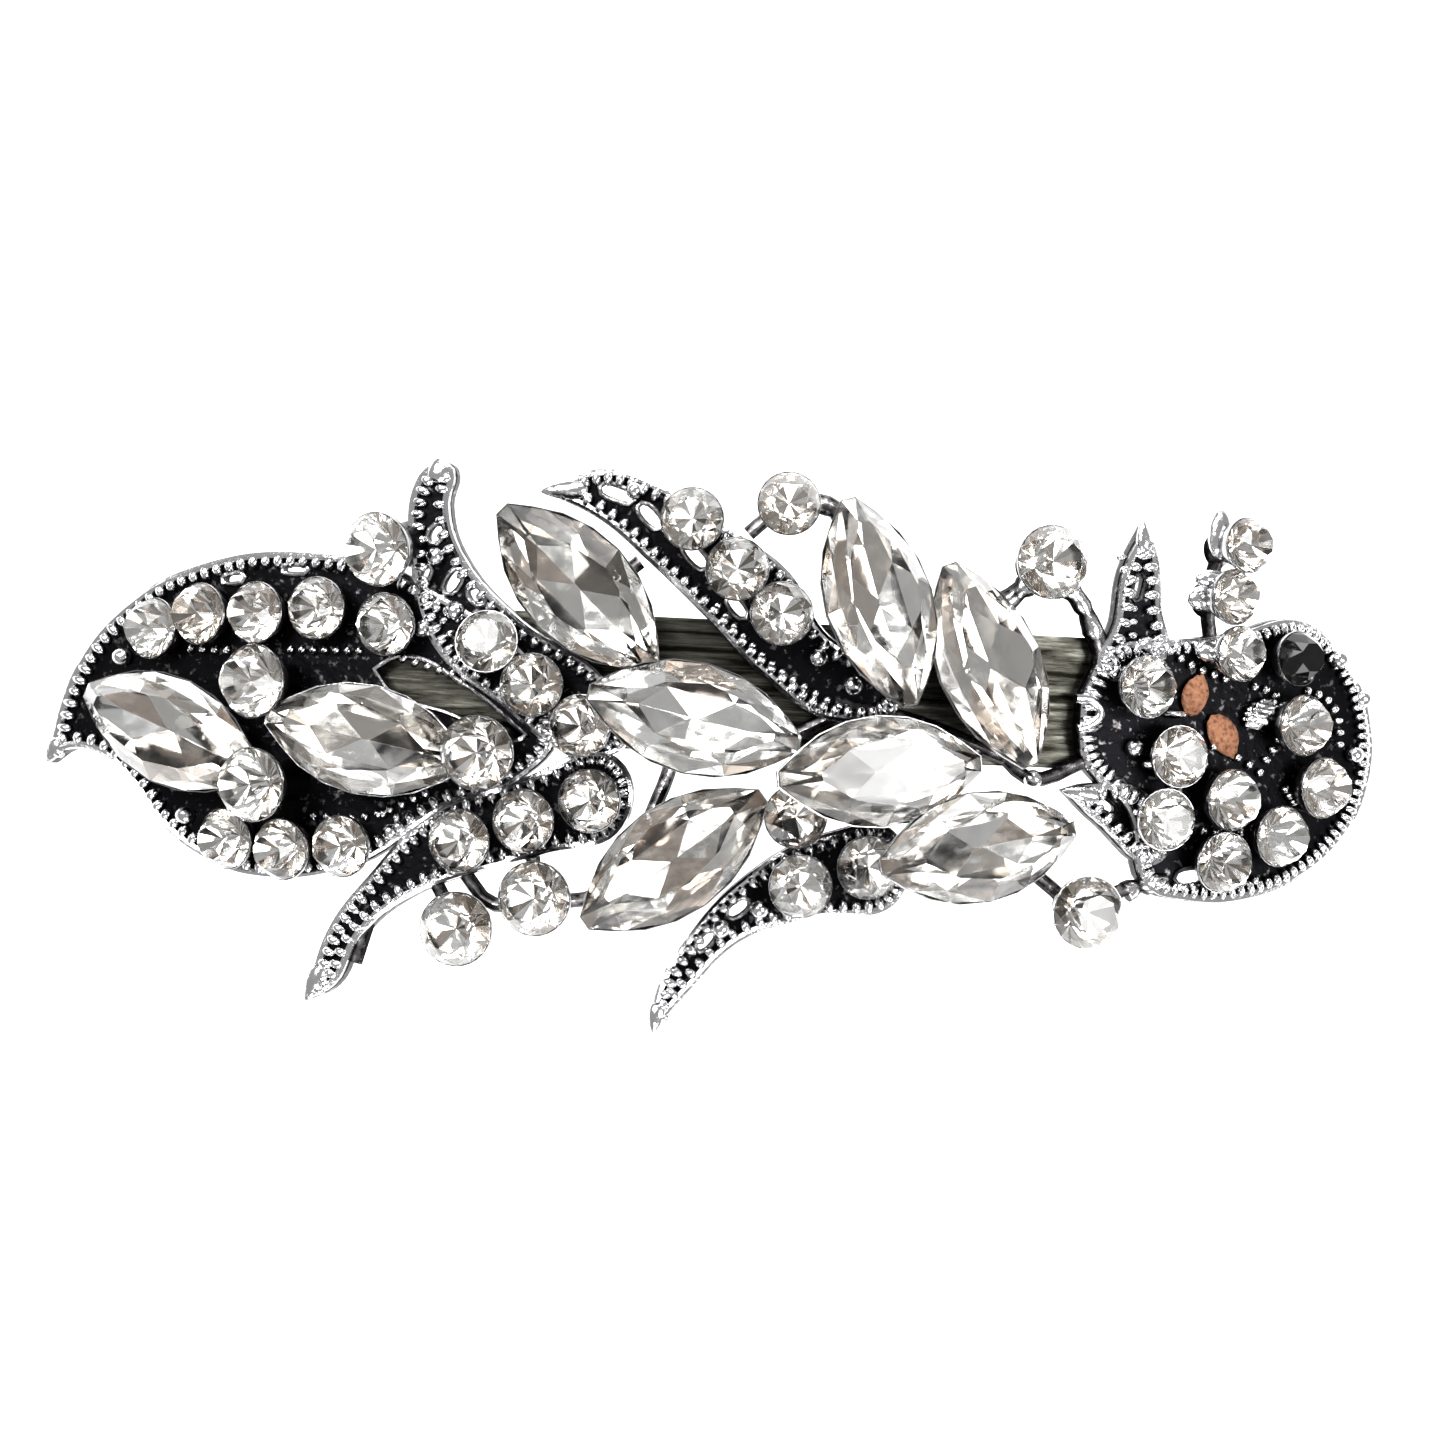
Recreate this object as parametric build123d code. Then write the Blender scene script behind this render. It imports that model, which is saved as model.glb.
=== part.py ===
from build123d import *
import os
from math import asin, atan2, cos, degrees, sin, sqrt

os.makedirs("parts", exist_ok=True)

# Rhinestone hair clip, millimetres. X runs along the clip, Y across it and Z up.
# The origin is on the underside of the clasp arm, below the crown of the arch.
# The casting, the clip bar and the stones follow arches about one axis along Y.

# ---- Arch and casting ----
arch_radius = 75.0          # upper face of the casting's plates
crown_height = 15.4         # the same face above the rest face, at x = 0
plate_thickness = 1.3
stem_width = 1.1
granule_diameter = 1.2

# ---- Stones ----
round_width = 3.8
large_width = 4.5
small_width = 3.4
navette_length = 13.4
navette_width = 6.7
crown_share = 0.24          # height above the girdle, per width of a round stone
pavilion_share = 0.42       # depth below the girdle, per width
navette_crown = 1.3
navette_pavilion = 2.3
table_share = 0.55          # table width per girdle width
culet_share = 0.06
girdle_band = 0.12
round_facets = 16
navette_facets = 6          # per long side
stone_clearance = 0.04      # cup to stone

# ---- Cups ----
cup_wall = 0.22
cup_lip = 0.12              # rim above the girdle
cup_floor = 0.45            # metal below the stone's point
cup_taper = 0.74            # foot width per rim width
post_share = 0.5            # width of the post below a raised cup, per rim width
pad_share = 0.4             # radius of the plate's pad at the post's foot, per stone width

# ---- French clip ----
bar_start = -29.0           # catch end
bar_end = 31.0              # hinge end
bar_width = 8.2
bar_thickness = 0.7
groove_depth = 0.15
groove_width = 0.5
groove_offset = 2.3
peg_radius = 0.8
peg_head_radius = 1.3
peg_head_height = 0.4
peg_clearance = 0.05
pin_radius = 0.7
pin_overhang = 0.3
pin_head_radius = 1.0
pin_head_height = 0.3
running_clearance = 0.05
knuckle_wall = 0.7
arm_thickness = 0.8
arm_width = 6.0
arm_side_clearance = 0.4
arm_rise = 2.0              # the catch end of the arm stands this much higher
arm_overhang = 3.0          # past the bar's catch end
step_inset = 8.5            # from the bar's catch end to the arm's step
step_length = 3.0
rib_width = 1.6
rib_height = 0.4
rib_margin = 5.0
ear_thickness = 0.7
ear_radius = 1.3
window_length = 3.6
window_width = 4.2
window_inset = 2.0          # its centre, from the bar's catch end
prong_length = 2.2
prong_thickness = 0.5
prong_gap = 0.25            # prong's outer face to the window's edge
barb_reach = 0.4            # how far the barb hooks under the arm
barb_clearance = 0.1
barb_height = 1.3
base_thickness = 0.6
base_width = 6.4
base_length = 4.6
spring_width = 4.6
spring_thickness = 0.4
spring_radius = 150.0
spring_tip_inset = 6.5      # from the bar's catch end
spring_root_inset = 2.8     # from the bar's hinge end
spring_height = 6.2         # underside at its two ends
spring_foot = 0.5
spring_clearance = 0.05

# ---- Values worked out from the above ----
arch_centre_z = crown_height - arch_radius
bar_top_radius = arch_radius - plate_thickness
bar_bottom_radius = bar_top_radius - bar_thickness
knuckle_radius = pin_radius + running_clearance + knuckle_wall
hinge_x = bar_end - ear_radius
hinge_z = knuckle_radius
ear_inner = arm_width / 2 + arm_side_clearance
arm_end = bar_start - arm_overhang
arm_step_start = bar_start + step_inset
arm_step_end = arm_step_start - step_length
window_centre = bar_start + window_inset
spring_start = bar_start + spring_tip_inset
spring_end = bar_end - spring_root_inset
peg_depth = plate_thickness + bar_thickness + peg_head_height + spring_clearance
tall = 60.0                 # longer than anything it cuts

# ---- Rows of equal stones: name, width, x and y of the row's anchor, then for each stone its offset from
# the anchor in stone widths, its girdle height above the plates, its lean to +X and its lean to +Y ----
head_x = 32.5
head_y = -5.6
stone_rows = [
    ("leaf_upper_stone", round_width, -25.5, 3.7, [
        (-2.87, -0.42, 1.5, -36, 4), (-2.03, -0.16, 1.9, -34, 2), (-1.05, -0.11, 1.9, -29, 0),
        (0, 0, 1.9, -22, 0), (1.16, -0.24, 2.1, -22, -6)]),
    ("leaf_lower_stone", round_width, -27.1, -11.4, [
        (-0.97, 0.11, 1.7, -30, -10), (0, 0, 1.9, -30, -8), (1.0, 0.11, 1.9, -24, -6)]),
    ("feather_1_stone", round_width, -11.7, -0.4, [
        (-0.76, 0.68, 2.1, -8, 10), (0, 0, 2.1, -8, 4), (0.79, -0.63, 1.9, -14, 2)]),
    ("feather_2_stone", round_width, 3.5, 4.6, [
        (-1.53, 1.45, 2.1, -3, 4), (-0.76, 0.68, 2.1, 2, 4), (0, 0, 2.1, 6, 2)]),
    ("feather_3_stone", round_width, -7.9, -5.5 - 0.5 * round_width, [
        (-2.08, -0.74, 2.1, -15, -4), (-1.05, -0.37, 2.1, -14, -4), (0, 0, 1.9, -12, -4)]),
    ("feather_4_stone", round_width, 9.5, -10.7, [
        (-1.08, -0.34, 2.1, 6, -4), (0, 0, 1.9, 8, -6)]),
    ("head_stone", round_width, head_x, head_y, [
        (-1.55, 1.79, 2.1, 26, 0), (-0.97, 0.68, 2.1, 22, 0), (-1.16, -0.37, 2.1, 20, -4),
        (0, 0, 2.1, 32, -2), (-0.11, -1.05, 1.9, 24, -8), (0.89, -0.58, 1.9, 32, -6),
        (1.63, 0.26, 1.7, 38, -2), (1.21, 1.29, 2.0, 35, 0)]),
    ("crest_stone", small_width, head_x - 0.1, head_y + 2.42 * round_width, [
        (0, 0, 2.8, 28, 4), (-0.15, 1.03, 2.6, 34, 4), (0.06, 2.0, 2.6, 34, 6)]),
]

# ---- Single stones: name, width, x, y, girdle height, lean to +X, lean to +Y ----
single_stones = [
    ("leaf_raised_stone", large_width, -21.8, 7.3, 3.6, -28, -8),
    ("leaf_vein_stone", large_width, -29.3, -1.0, 3.6, -30, 0),
    ("leaf_joint_stone", large_width, -28.9, -7.4, 5.0, -26, -4),
    ("leaf_tip_stone", large_width, -14.8, -4.8, 5.0, -14, -6),
    ("spray_stone", round_width, 4.9, -7.8, 2.0, 6, -6),
    ("bud_stone_1", large_width, -15.7, -15.6, 2.6, -12, -4),
    ("bud_stone_2", large_width, -11.0, -13.5, 2.6, -14, -4),
    ("bud_stone_3", round_width, 3.6, 11.3, 2.4, 4, 4),
    ("bud_stone_4", large_width, 20.1, 8.6, 2.5, 17, 4),
    ("bud_stone_5", large_width, 23.3, -12.9, 2.5, 15, -4),
    ("eye_stone", small_width, 36.5, head_y + 2.4 * round_width, 1.8, 33, 4),
]

# ---- Pointed stones: the same without a width, then the turn of the long axis from +X ----
navette_stones = [
    ("navette_leaf_outer", -34.6, -4.3, 3.0, -22, 2, -20),
    ("navette_leaf_inner", -21.9, -4.2, 3.2, -15, 4, -9),
    ("navette_spray_1", -8.9, 5.4, 3.2, 6, -8, -42),
    ("navette_spray_2", -1.4, -2.0, 4.9, 10, 2, -11),
    ("navette_spray_3", 9.4, 5.7, 3.4, 9, 12, -72),
    ("navette_spray_4", 16.4, 2.2, 3.4, 13, 12, -68),
    ("navette_spray_5", 10.1, -4.7, 4.3, 20, 2, 7),
    ("navette_spray_6", -2.5, -10.5, 3.4, -6, 8, 40),
    ("navette_spray_7", 16.3, -9.0, 3.7, 22, 6, 13),
]


def arch_z(x, height=0.0):
    """Height of the arch raised by height above the casting's upper face."""
    return arch_centre_z + sqrt((arch_radius + height) ** 2 - x ** 2)


def seat(x, y, height, lean_x, lean_y, turn=0.0):
    """Place of a stone's girdle centre, with its own Z along the stone's axis."""
    return Location((x, y, arch_z(x, height))) * Rot(0, lean_x, 0) * Rot(-lean_y, 0, 0) * Rot(0, 0, turn)


def arch_shell(inner_radius, outer_radius):
    """Thick arch about the common axis."""
    turned = Location((0, 0, arch_centre_z)) * Rot(90, 0, 0)
    outer = turned * Cylinder(outer_radius, tall * 2)
    inner = turned * Cylinder(inner_radius, tall * 3)
    return outer - inner


def facet_stack(sections):
    """Solid through a stack of similar outlines, each a face at its own height."""
    body = Part()
    for lower, upper in zip(sections, sections[1:]):
        body += loft([lower, upper], ruled=True)
    return body


def round_outline(width, z):
    return Pos(0, 0, z) * RegularPolygon(width / 2, round_facets)


def lens_outline(length, width, z):
    """Pointed oval of straight facets whose corners lie on two equal arcs."""
    half_length = length / 2
    half_width = width / 2
    arc_radius = (half_length ** 2 + half_width ** 2) / width
    sweep = asin(half_length / arc_radius)
    corners = []
    for side in (1, -1):
        for step in range(navette_facets):
            angle = sweep * (1 - 2 * step / navette_facets)
            across = arc_radius * cos(angle) - (arc_radius - half_width)
            corners.append((side * arc_radius * sin(angle), side * across))
    return Pos(0, 0, z) * Polygon(*corners, align=None)


def round_stone(width, clearance=0.0):
    """Chaton: flat table, faceted crown, thin girdle and faceted point."""
    wide = width + 2 * clearance
    half_band = girdle_band / 2
    return facet_stack([
        round_outline(wide * culet_share, -pavilion_share * width - clearance),
        round_outline(wide, -half_band - clearance),
        round_outline(wide, half_band + clearance),
        round_outline(wide * table_share, crown_share * width + clearance),
    ])


def navette_stone(clearance=0.0):
    """Pointed oval stone with a table and a keel."""
    length = navette_length + 2 * clearance
    width = navette_width + 2 * clearance
    half_band = girdle_band / 2
    return facet_stack([
        lens_outline(length * culet_share, width * culet_share, -navette_pavilion - clearance),
        lens_outline(length, width, -half_band - clearance),
        lens_outline(length, width, half_band + clearance),
        lens_outline(length * table_share, width * table_share, navette_crown + clearance),
    ])


def round_cup(width, reach):
    """Tapered cup below a round stone, on a post that reaches into the plates."""
    rim = width / 2 + cup_wall
    depth = pavilion_share * width + cup_floor
    cone = Cone(rim * cup_taper, rim, depth + cup_lip, align=(Align.CENTER, Align.CENTER, Align.MIN))
    post = Cylinder(rim * post_share, reach, align=(Align.CENTER, Align.CENTER, Align.MAX))
    return [Pos(0, 0, -depth) * cone, Pos(0, 0, -depth / 2) * post]


def navette_cup(reach):
    """Tapered pointed-oval cup on a narrower post."""
    depth = navette_pavilion + cup_floor
    length = navette_length + 4 * cup_wall
    width = navette_width + 2 * cup_wall
    cup = loft([
        lens_outline(length * cup_taper, width * cup_taper, -depth),
        lens_outline(length, width, cup_lip),
    ], ruled=True)
    post = extrude(lens_outline(length * post_share, width * post_share, -depth / 2), -reach)
    return [cup, post]


def blade(upper, lower):
    """Plan outline from a shared tip along two curved edges to a straight root."""
    return make_face(Spline(*upper) + Spline(*lower) + Line(upper[-1], lower[-1]))


def stem(*points):
    """Plan outline of a thin cast bar along straight runs with round joints."""
    outline = Sketch()
    for start, end in zip(points, points[1:]):
        run = atan2(end[1] - start[1], end[0] - start[0])
        length = sqrt((end[0] - start[0]) ** 2 + (end[1] - start[1]) ** 2)
        middle = ((start[0] + end[0]) / 2, (start[1] + end[1]) / 2)
        outline += Pos(*middle) * Rot(0, 0, degrees(run)) * SlotCenterToCenter(length, stem_width)
    return outline


def window(x, y, length, width, turn):
    """Plan outline of a small opening through a plate."""
    return Pos(x, y) * Rot(0, 0, turn) * Ellipse(length / 2, width / 2)


def leaf_outline():
    """Broad leaf at the catch end, open over the bar along its middle."""
    leaf = blade(
        [(-43.3, -6.8), (-41.4, -0.4), (-37.8, 3.8), (-33.2, 6.2), (-26.6, 7.2), (-19.0, 5.6), (-10.0, -3.0)],
        [(-43.3, -6.8), (-41.6, -5.8), (-39.4, -6.1), (-37.2, -7.8), (-35.2, -10.1), (-32.4, -12.0),
         (-28.9, -13.1), (-22.5, -12.2), (-16.5, -8.2), (-12.5, -6.5)],
    )
    channel = blade(
        [(-21.6, 0.1), (-20.0, 1.0), (-15.6, -0.8), (-11.8, -3.6)],
        [(-21.6, 0.1), (-20.6, -1.2), (-16.4, -2.6), (-13.0, -4.0)],
    )
    return leaf - channel - window(-31.0, 5.4, 1.6, 0.7, 8) - window(-27.0, 6.1, 1.8, 0.6, 0)


def feather_1_outline():
    """Upright feather that starts behind the leaf."""
    feather = blade(
        [(-18.0, 13.2), (-17.1, 12.6), (-17.3, 10.4), (-16.4, 7.6), (-12.6, 3.6), (-7.2, 0.2), (-5.4, -3.4)],
        [(-18.0, 13.2), (-19.3, 12.2), (-19.6, 7.0), (-18.0, 1.8), (-13.5, -1.8), (-8.8, -4.6)],
    )
    return (feather - window(-18.1, 8.6, 1.4, 1.0, 60) - window(-18.7, 6.0, 1.5, 0.7, 70)
            - window(-16.9, 5.7, 1.8, 1.0, 60) - window(-15.4, 4.9, 1.5, 0.9, -50))


def feather_2_outline():
    """Feather from the upper edge down to the middle of the spray."""
    feather = blade(
        [(-11.4, 11.4), (-8.1, 13.0), (-4.4, 12.2), (-0.5, 9.9), (3.8, 7.2), (6.0, 3.8), (11.0, -0.4)],
        [(-11.4, 11.4), (-8.0, 9.9), (-4.8, 7.4), (-1.2, 4.2), (2.4, 0.8), (7.0, -1.8)],
    )
    return (feather - window(-7.1, 11.5, 1.7, 0.9, -20) - window(-4.6, 10.5, 1.5, 0.9, -50)
            - window(-1.8, 7.9, 1.5, 0.9, -45) - window(0.8, 4.9, 1.6, 0.9, -50))


def feather_3_outline():
    """Long curved feather at the lower left."""
    feather = blade(
        [(-25.0, -20.6), (-23.8, -16.2), (-21.3, -12.6), (-17.5, -8.6), (-12.0, -6.2), (-6.4, -4.6)],
        [(-25.0, -20.6), (-23.2, -19.6), (-21.6, -16.4), (-19.2, -14.2), (-14.9, -12.2), (-10.4, -10.8),
         (-5.6, -8.8)],
    )
    return feather + stem((-21.4, -15.6), (-22.1, -18.1))


def feather_4_outline():
    """Curved feather at the bottom middle."""
    feather = blade(
        [(-3.2, -21.3), (-3.3, -19.2), (-1.6, -15.6), (1.8, -11.6), (7.0, -8.6), (11.0, -8.4)],
        [(-3.2, -21.3), (-1.2, -18.8), (1.8, -15.6), (5.4, -14.1), (11.6, -12.4)],
    )
    return feather - window(1.6, -13.5, 1.7, 0.9, 40) - window(-0.3, -15.6, 1.6, 0.8, 50)


def head_outline():
    """Round head, with an upright feather and a small wing on its left side."""
    head = blade(
        [(22.2, 0.4), (24.2, 3.6), (27.4, 4.2), (31.7, 4.8), (36.6, 5.9), (39.9, 3.5), (41.8, -0.6), (41.6, -4.8)],
        [(22.2, 0.4), (22.6, -3.6), (25.6, -6.6), (27.0, -11.2), (29.6, -12.0), (33.6, -11.8), (37.8, -10.0),
         (40.4, -7.4)],
    )
    crest_feather = blade(
        [(25.9, 11.3), (26.8, 9.4), (27.2, 6.2), (27.6, 3.0)],
        [(25.9, 11.3), (24.6, 8.4), (24.2, 5.2), (23.4, 2.0)],
    )
    wing = blade(
        [(21.5, -5.4), (23.4, -5.0), (26.8, -5.6)],
        [(21.5, -5.4), (23.8, -7.0), (28.0, -9.2)],
    )
    return (head + crest_feather + wing - window(25.7, 7.4, 1.8, 0.7, 80)
            - window(29.5, -10.4, 1.3, 1.0, 20))


def stem_outlines():
    """Thin bars between the feathers, the buds and the head."""
    return (stem((-17.5, -12.4), (-15.7, -15.4))
            + stem((-15.4, -12.2), (-13.6, -14.0), (-10.8, -13.6), (-7.8, -13.4), (-6.2, -12.6))
            + stem((-11.4, -9.0), (-11.0, -13.0))
            + stem((1.2, 9.4), (3.4, 11.2), (5.8, 11.6), (8.2, 9.8))
            + stem((14.4, 5.0), (17.8, 6.6), (20.0, 8.4), (22.2, 6.2), (23.9, 3.4))
            + stem((18.4, -9.4), (21.0, -11.4), (23.2, -12.8), (25.6, -11.5), (27.8, -11.0))
            + stem((17.8, -3.6), (19.4, -4.8), (22.8, -3.6))
            + stem((7.0, -0.6), (12.0, -1.6), (17.8, -3.6))
            + stem((-3.0, -3.2), (2.6, -3.4), (7.2, -1.4))
            + stem((-9.4, 4.0), (-5.4, 7.4))
            + stem((9.0, -5.2), (5.2, -7.2))
            + stem((-4.2, -8.8), (-3.0, -3.2), (-7.4, 2.6))
            + stem((14.6, -6.0), (16.0, -3.2))
            + stem((30.8, 3.8), (30.4, 7.0), (31.1, 10.2)))


def stone_seats():
    """Each stone's name, its kind and its place."""
    seats = []
    for row, width, row_x, row_y, stones in stone_rows:
        for number, (along, across, height, lean_x, lean_y) in enumerate(stones, 1):
            place = seat(row_x + along * width, row_y + across * width, height, lean_x, lean_y)
            seats.append((f"{row}_{number}", width, place, height))
    for name, width, x, y, height, lean_x, lean_y in single_stones:
        seats.append((name, width, seat(x, y, height, lean_x, lean_y), height))
    for name, x, y, height, lean_x, lean_y, turn in navette_stones:
        seats.append((name, None, seat(x, y, height, lean_x, lean_y, turn), height))
    return seats


def cup_pads():
    """Plan discs that join the foot of each cup to the plates."""
    pads = Sketch()
    for name, width, place, height in stone_seats():
        across = navette_width if width is None else width
        foot = (place * Pos(0, 0, -height - plate_thickness / 2)).position
        pads += Pos(foot.X, foot.Y) * Circle(across * pad_share)
    return pads


def granules():
    """Larger cast balls on the feathers and the head."""
    places = [(-18.0, 7.2), (-16.6, 3.9), (-18.6, 2.7), (-5.9, 11.7), (5.8, 2.0), (8.0, 0.4), (2.9, -13.5),
              (0.6, -14.8), (26.2, 3.8), (25.8, -2.6), (39.8, 2.6), (40.7, -2.2), (19.4, -4.8)]
    return [Pos(x, y, arch_z(x)) * Sphere(granule_diameter / 2) for x, y in places]


peg_places = [(-21.5, -3.0), (-1.5, -1.5), (24.6, 0.4)]


def casting_pegs():
    """Pegs through the clip bar, each spread into a low head below it."""
    head_shell = arch_shell(bar_bottom_radius - peg_head_height, bar_bottom_radius)
    pegs = []
    for x, y in peg_places:
        radial = Location((x, y, arch_z(x))) * Rot(0, degrees(asin(x / arch_radius)), 0)
        shank_length = plate_thickness + bar_thickness + peg_head_height / 2
        shank = radial * Cylinder(peg_radius, shank_length, align=(Align.CENTER, Align.CENTER, Align.MAX))
        head = head_shell & (radial * Cylinder(peg_head_radius, tall / 6))
        pegs.extend([shank, head])
    return pegs


def openwork_casting():
    """Leaf, feathers, head, stems and cups, cast in one piece."""
    plan = leaf_outline() + feather_1_outline() + feather_2_outline() + feather_3_outline()
    plan += feather_4_outline() + head_outline() + stem_outlines() + cup_pads()
    column = Pos(0, 0, -tall / 2) * extrude(plan, tall)
    plates = column & arch_shell(bar_top_radius, arch_radius)
    cups = []
    pockets = []
    for name, width, place, height in stone_seats():
        reach = height + plate_thickness
        pieces = navette_cup(reach) if width is None else round_cup(width, reach)
        stone = navette_stone(stone_clearance) if width is None else round_stone(width, stone_clearance)
        cups.extend(place * piece for piece in pieces)
        pockets.append(place * stone)
    below = Location((0, 0, arch_centre_z)) * Rot(90, 0, 0) * Cylinder(bar_top_radius, tall * 2)
    raised = (Part() + cups + granules()) - below
    return (plates + raised + casting_pegs()) - pockets


def clip_bar():
    """Arched top bar with its hinge ears and the holes for the casting's pegs."""
    strip = Pos((bar_start + bar_end) / 2, 0, 0) * Box(bar_end - bar_start, bar_width, tall)
    bar = strip & arch_shell(bar_bottom_radius, bar_top_radius)
    for y in (-groove_offset, groove_offset):
        groove = Pos(0, y, 0) * Box(tall * 2, groove_width, tall)
        bar -= groove & arch_shell(bar_top_radius - groove_depth, arch_radius)
    for x, y in peg_places:
        radial = Location((x, y, arch_z(x))) * Rot(0, degrees(asin(x / arch_radius)), 0)
        bar -= radial * Cylinder(peg_radius + peg_clearance, tall / 6)
    ear_top = arch_centre_z + sqrt(bar_top_radius ** 2 - bar_end ** 2)
    ear = Circle(ear_radius) + Pos(0, (ear_top - hinge_z) / 2) * Rectangle(2 * ear_radius, ear_top - hinge_z)
    ear -= Circle(pin_radius)
    for side in (-1, 1):
        middle = side * (ear_inner + ear_thickness / 2)
        cheek = Location((hinge_x, middle, hinge_z)) * Rot(90, 0, 0) * extrude(ear, ear_thickness / 2, both=True)
        bar += cheek
    return bar - arch_shell(bar_top_radius, bar_top_radius + tall)


def hinge_pin():
    """Pin through both ears, with a low head on each end."""
    reach = ear_inner + ear_thickness
    pin = Location((hinge_x, 0, hinge_z)) * Rot(90, 0, 0) * Cylinder(pin_radius, 2 * (reach + pin_overhang))
    for side in (-1, 1):
        head = Cylinder(pin_head_radius, pin_head_height)
        pin += Location((hinge_x, side * (reach + pin_head_height / 2), hinge_z)) * Rot(90, 0, 0) * head
    return pin


def clasp_arm():
    """Straight lower arm, curled round the pin and stepped up to its window."""
    top = arm_thickness
    raised = arm_rise + arm_thickness
    side_view = Polygon(
        (hinge_x, 0), (arm_step_start, 0), (arm_step_end, arm_rise), (arm_end, arm_rise),
        (arm_end, raised), (arm_step_end, raised), (arm_step_start, top), (hinge_x, top), align=None)
    strip = Rot(90, 0, 0) * extrude(side_view, arm_width / 2, both=True)
    knuckle = Location((hinge_x, 0, hinge_z)) * Rot(90, 0, 0) * Cylinder(knuckle_radius, arm_width)
    rib_start = arm_step_start + rib_margin
    rib_end = hinge_x - rib_margin
    rib_plan = Pos((rib_start + rib_end) / 2, 0, top / 2) * SlotOverall(rib_end - rib_start, rib_width)
    rib = extrude(rib_plan, top / 2 + rib_height)
    opening = Pos(window_centre, 0, 0) * Box(window_length, window_width, tall)
    bore = Location((hinge_x, 0, hinge_z)) * Rot(90, 0, 0) * Cylinder(pin_radius + running_clearance, tall)
    arm = strip + knuckle + rib - opening - bore
    tip_corners = arm.edges().filter_by(Axis.Z).group_by(Axis.X)[0]
    return fillet(tip_corners, arm_width / 4)


def catch_base():
    """Small plate below the catch end of the bar that carries both prongs."""
    block = Pos(window_centre, 0, 0) * Box(base_length, base_width, tall)
    return block & arch_shell(bar_bottom_radius - base_thickness, bar_bottom_radius)


def catch_prong(side):
    """Springy prong whose barb hooks below the arm; side is -1 or 1."""
    outer = window_width / 2 - prong_gap
    inner = outer - prong_thickness
    root = prong_root_z
    barb_top = arm_rise - barb_clearance
    barb_tip = outer + prong_gap + barb_reach
    barb_bottom = barb_top - barb_height
    profile = Polygon(
        (inner, root), (outer, root), (outer, barb_top), (barb_tip, barb_top),
        (outer, barb_bottom), (inner, barb_bottom), align=None)
    prong = Pos(window_centre, 0, 0) * Rot(0, 0, 90) * Rot(90, 0, 0) * extrude(profile, prong_length / 2, both=True)
    return prong if side > 0 else mirror(prong, Plane.XZ)


prong_x_max = abs(window_centre) + prong_length / 2
prong_root_z = (arch_centre_z + sqrt((bar_bottom_radius - base_thickness) ** 2 - prong_x_max ** 2)
                - running_clearance)


def tension_spring():
    """Bowed leaf spring below the bar that presses the hair onto the arm."""
    middle = (spring_start + spring_end) / 2
    half_span = (spring_end - spring_start) / 2
    centre_z = spring_height - sqrt(spring_radius ** 2 - half_span ** 2)
    axis = Location((middle, 0, centre_z)) * Rot(90, 0, 0)
    bow = axis * Cylinder(spring_radius + spring_thickness, tall) - axis * Cylinder(spring_radius, tall * 2)
    leaf = bow & (Pos(middle, 0, 0) * Box(2 * half_span, spring_width, tall))
    foot_bottom = spring_height
    foot_top = arch_centre_z + bar_bottom_radius
    foot = Pos(spring_end - spring_foot / 2, 0, (foot_bottom + foot_top) / 2) * Box(
        spring_foot, spring_width, foot_top - foot_bottom)
    limit = arch_shell(bar_bottom_radius - spring_clearance, arch_radius + tall)
    for x, y in peg_places:
        radial = Location((x, y, arch_z(x))) * Rot(0, degrees(asin(x / arch_radius)), 0)
        limit += radial * Cylinder(peg_head_radius + running_clearance, 2 * peg_depth)
    return leaf + (foot - limit)


def write(name, shape):
    export_step(shape, f"parts/{name}.step")


for name, width, place, height in stone_seats():
    write(name, place * (navette_stone() if width is None else round_stone(width)))
write("openwork_casting", openwork_casting())
write("clip_bar", clip_bar())
write("hinge_pin", hinge_pin())
write("clasp_arm", clasp_arm())
write("catch_base", catch_base())
write("catch_prong_front", catch_prong(-1))
write("catch_prong_rear", catch_prong(1))
write("tension_spring", tension_spring())
print("hinge axis", round(hinge_x, 3), round(hinge_z, 3), "prong root", round(prong_root_z, 3))
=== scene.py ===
import math
import random

import bmesh
import bpy
import numpy as np
from mathutils import Matrix, Vector
from mathutils.geometry import interpolate_bezier


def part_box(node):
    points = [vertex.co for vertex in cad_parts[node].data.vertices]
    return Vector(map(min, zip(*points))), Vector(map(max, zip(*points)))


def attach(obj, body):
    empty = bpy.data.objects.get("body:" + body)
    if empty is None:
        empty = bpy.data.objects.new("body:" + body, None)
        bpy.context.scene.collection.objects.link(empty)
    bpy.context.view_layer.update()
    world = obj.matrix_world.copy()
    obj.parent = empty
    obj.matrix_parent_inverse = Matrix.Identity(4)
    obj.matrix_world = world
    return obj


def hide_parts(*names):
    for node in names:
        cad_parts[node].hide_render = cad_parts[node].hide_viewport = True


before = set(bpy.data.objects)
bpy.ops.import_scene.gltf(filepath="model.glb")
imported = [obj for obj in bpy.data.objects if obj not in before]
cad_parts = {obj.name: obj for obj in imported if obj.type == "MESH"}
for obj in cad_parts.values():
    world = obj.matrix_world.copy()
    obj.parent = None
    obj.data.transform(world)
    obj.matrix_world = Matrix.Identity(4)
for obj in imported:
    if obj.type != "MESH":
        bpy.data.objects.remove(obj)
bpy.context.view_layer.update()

# The clip is laid out flat in millimetres, x along it and y across, with z as height above the
# casting's plates, and then bent onto the arch that the clip bar follows.
mm = 0.001
clipBody = "clip"
arch = {"radius": 75.0, "plateThickness": 1.3}
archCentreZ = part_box("clip_bar")[1].z / mm - (arch["radius"] - arch["plateThickness"])
random.seed(11)
print("frame loaded", len(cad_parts), "nodes")


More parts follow.
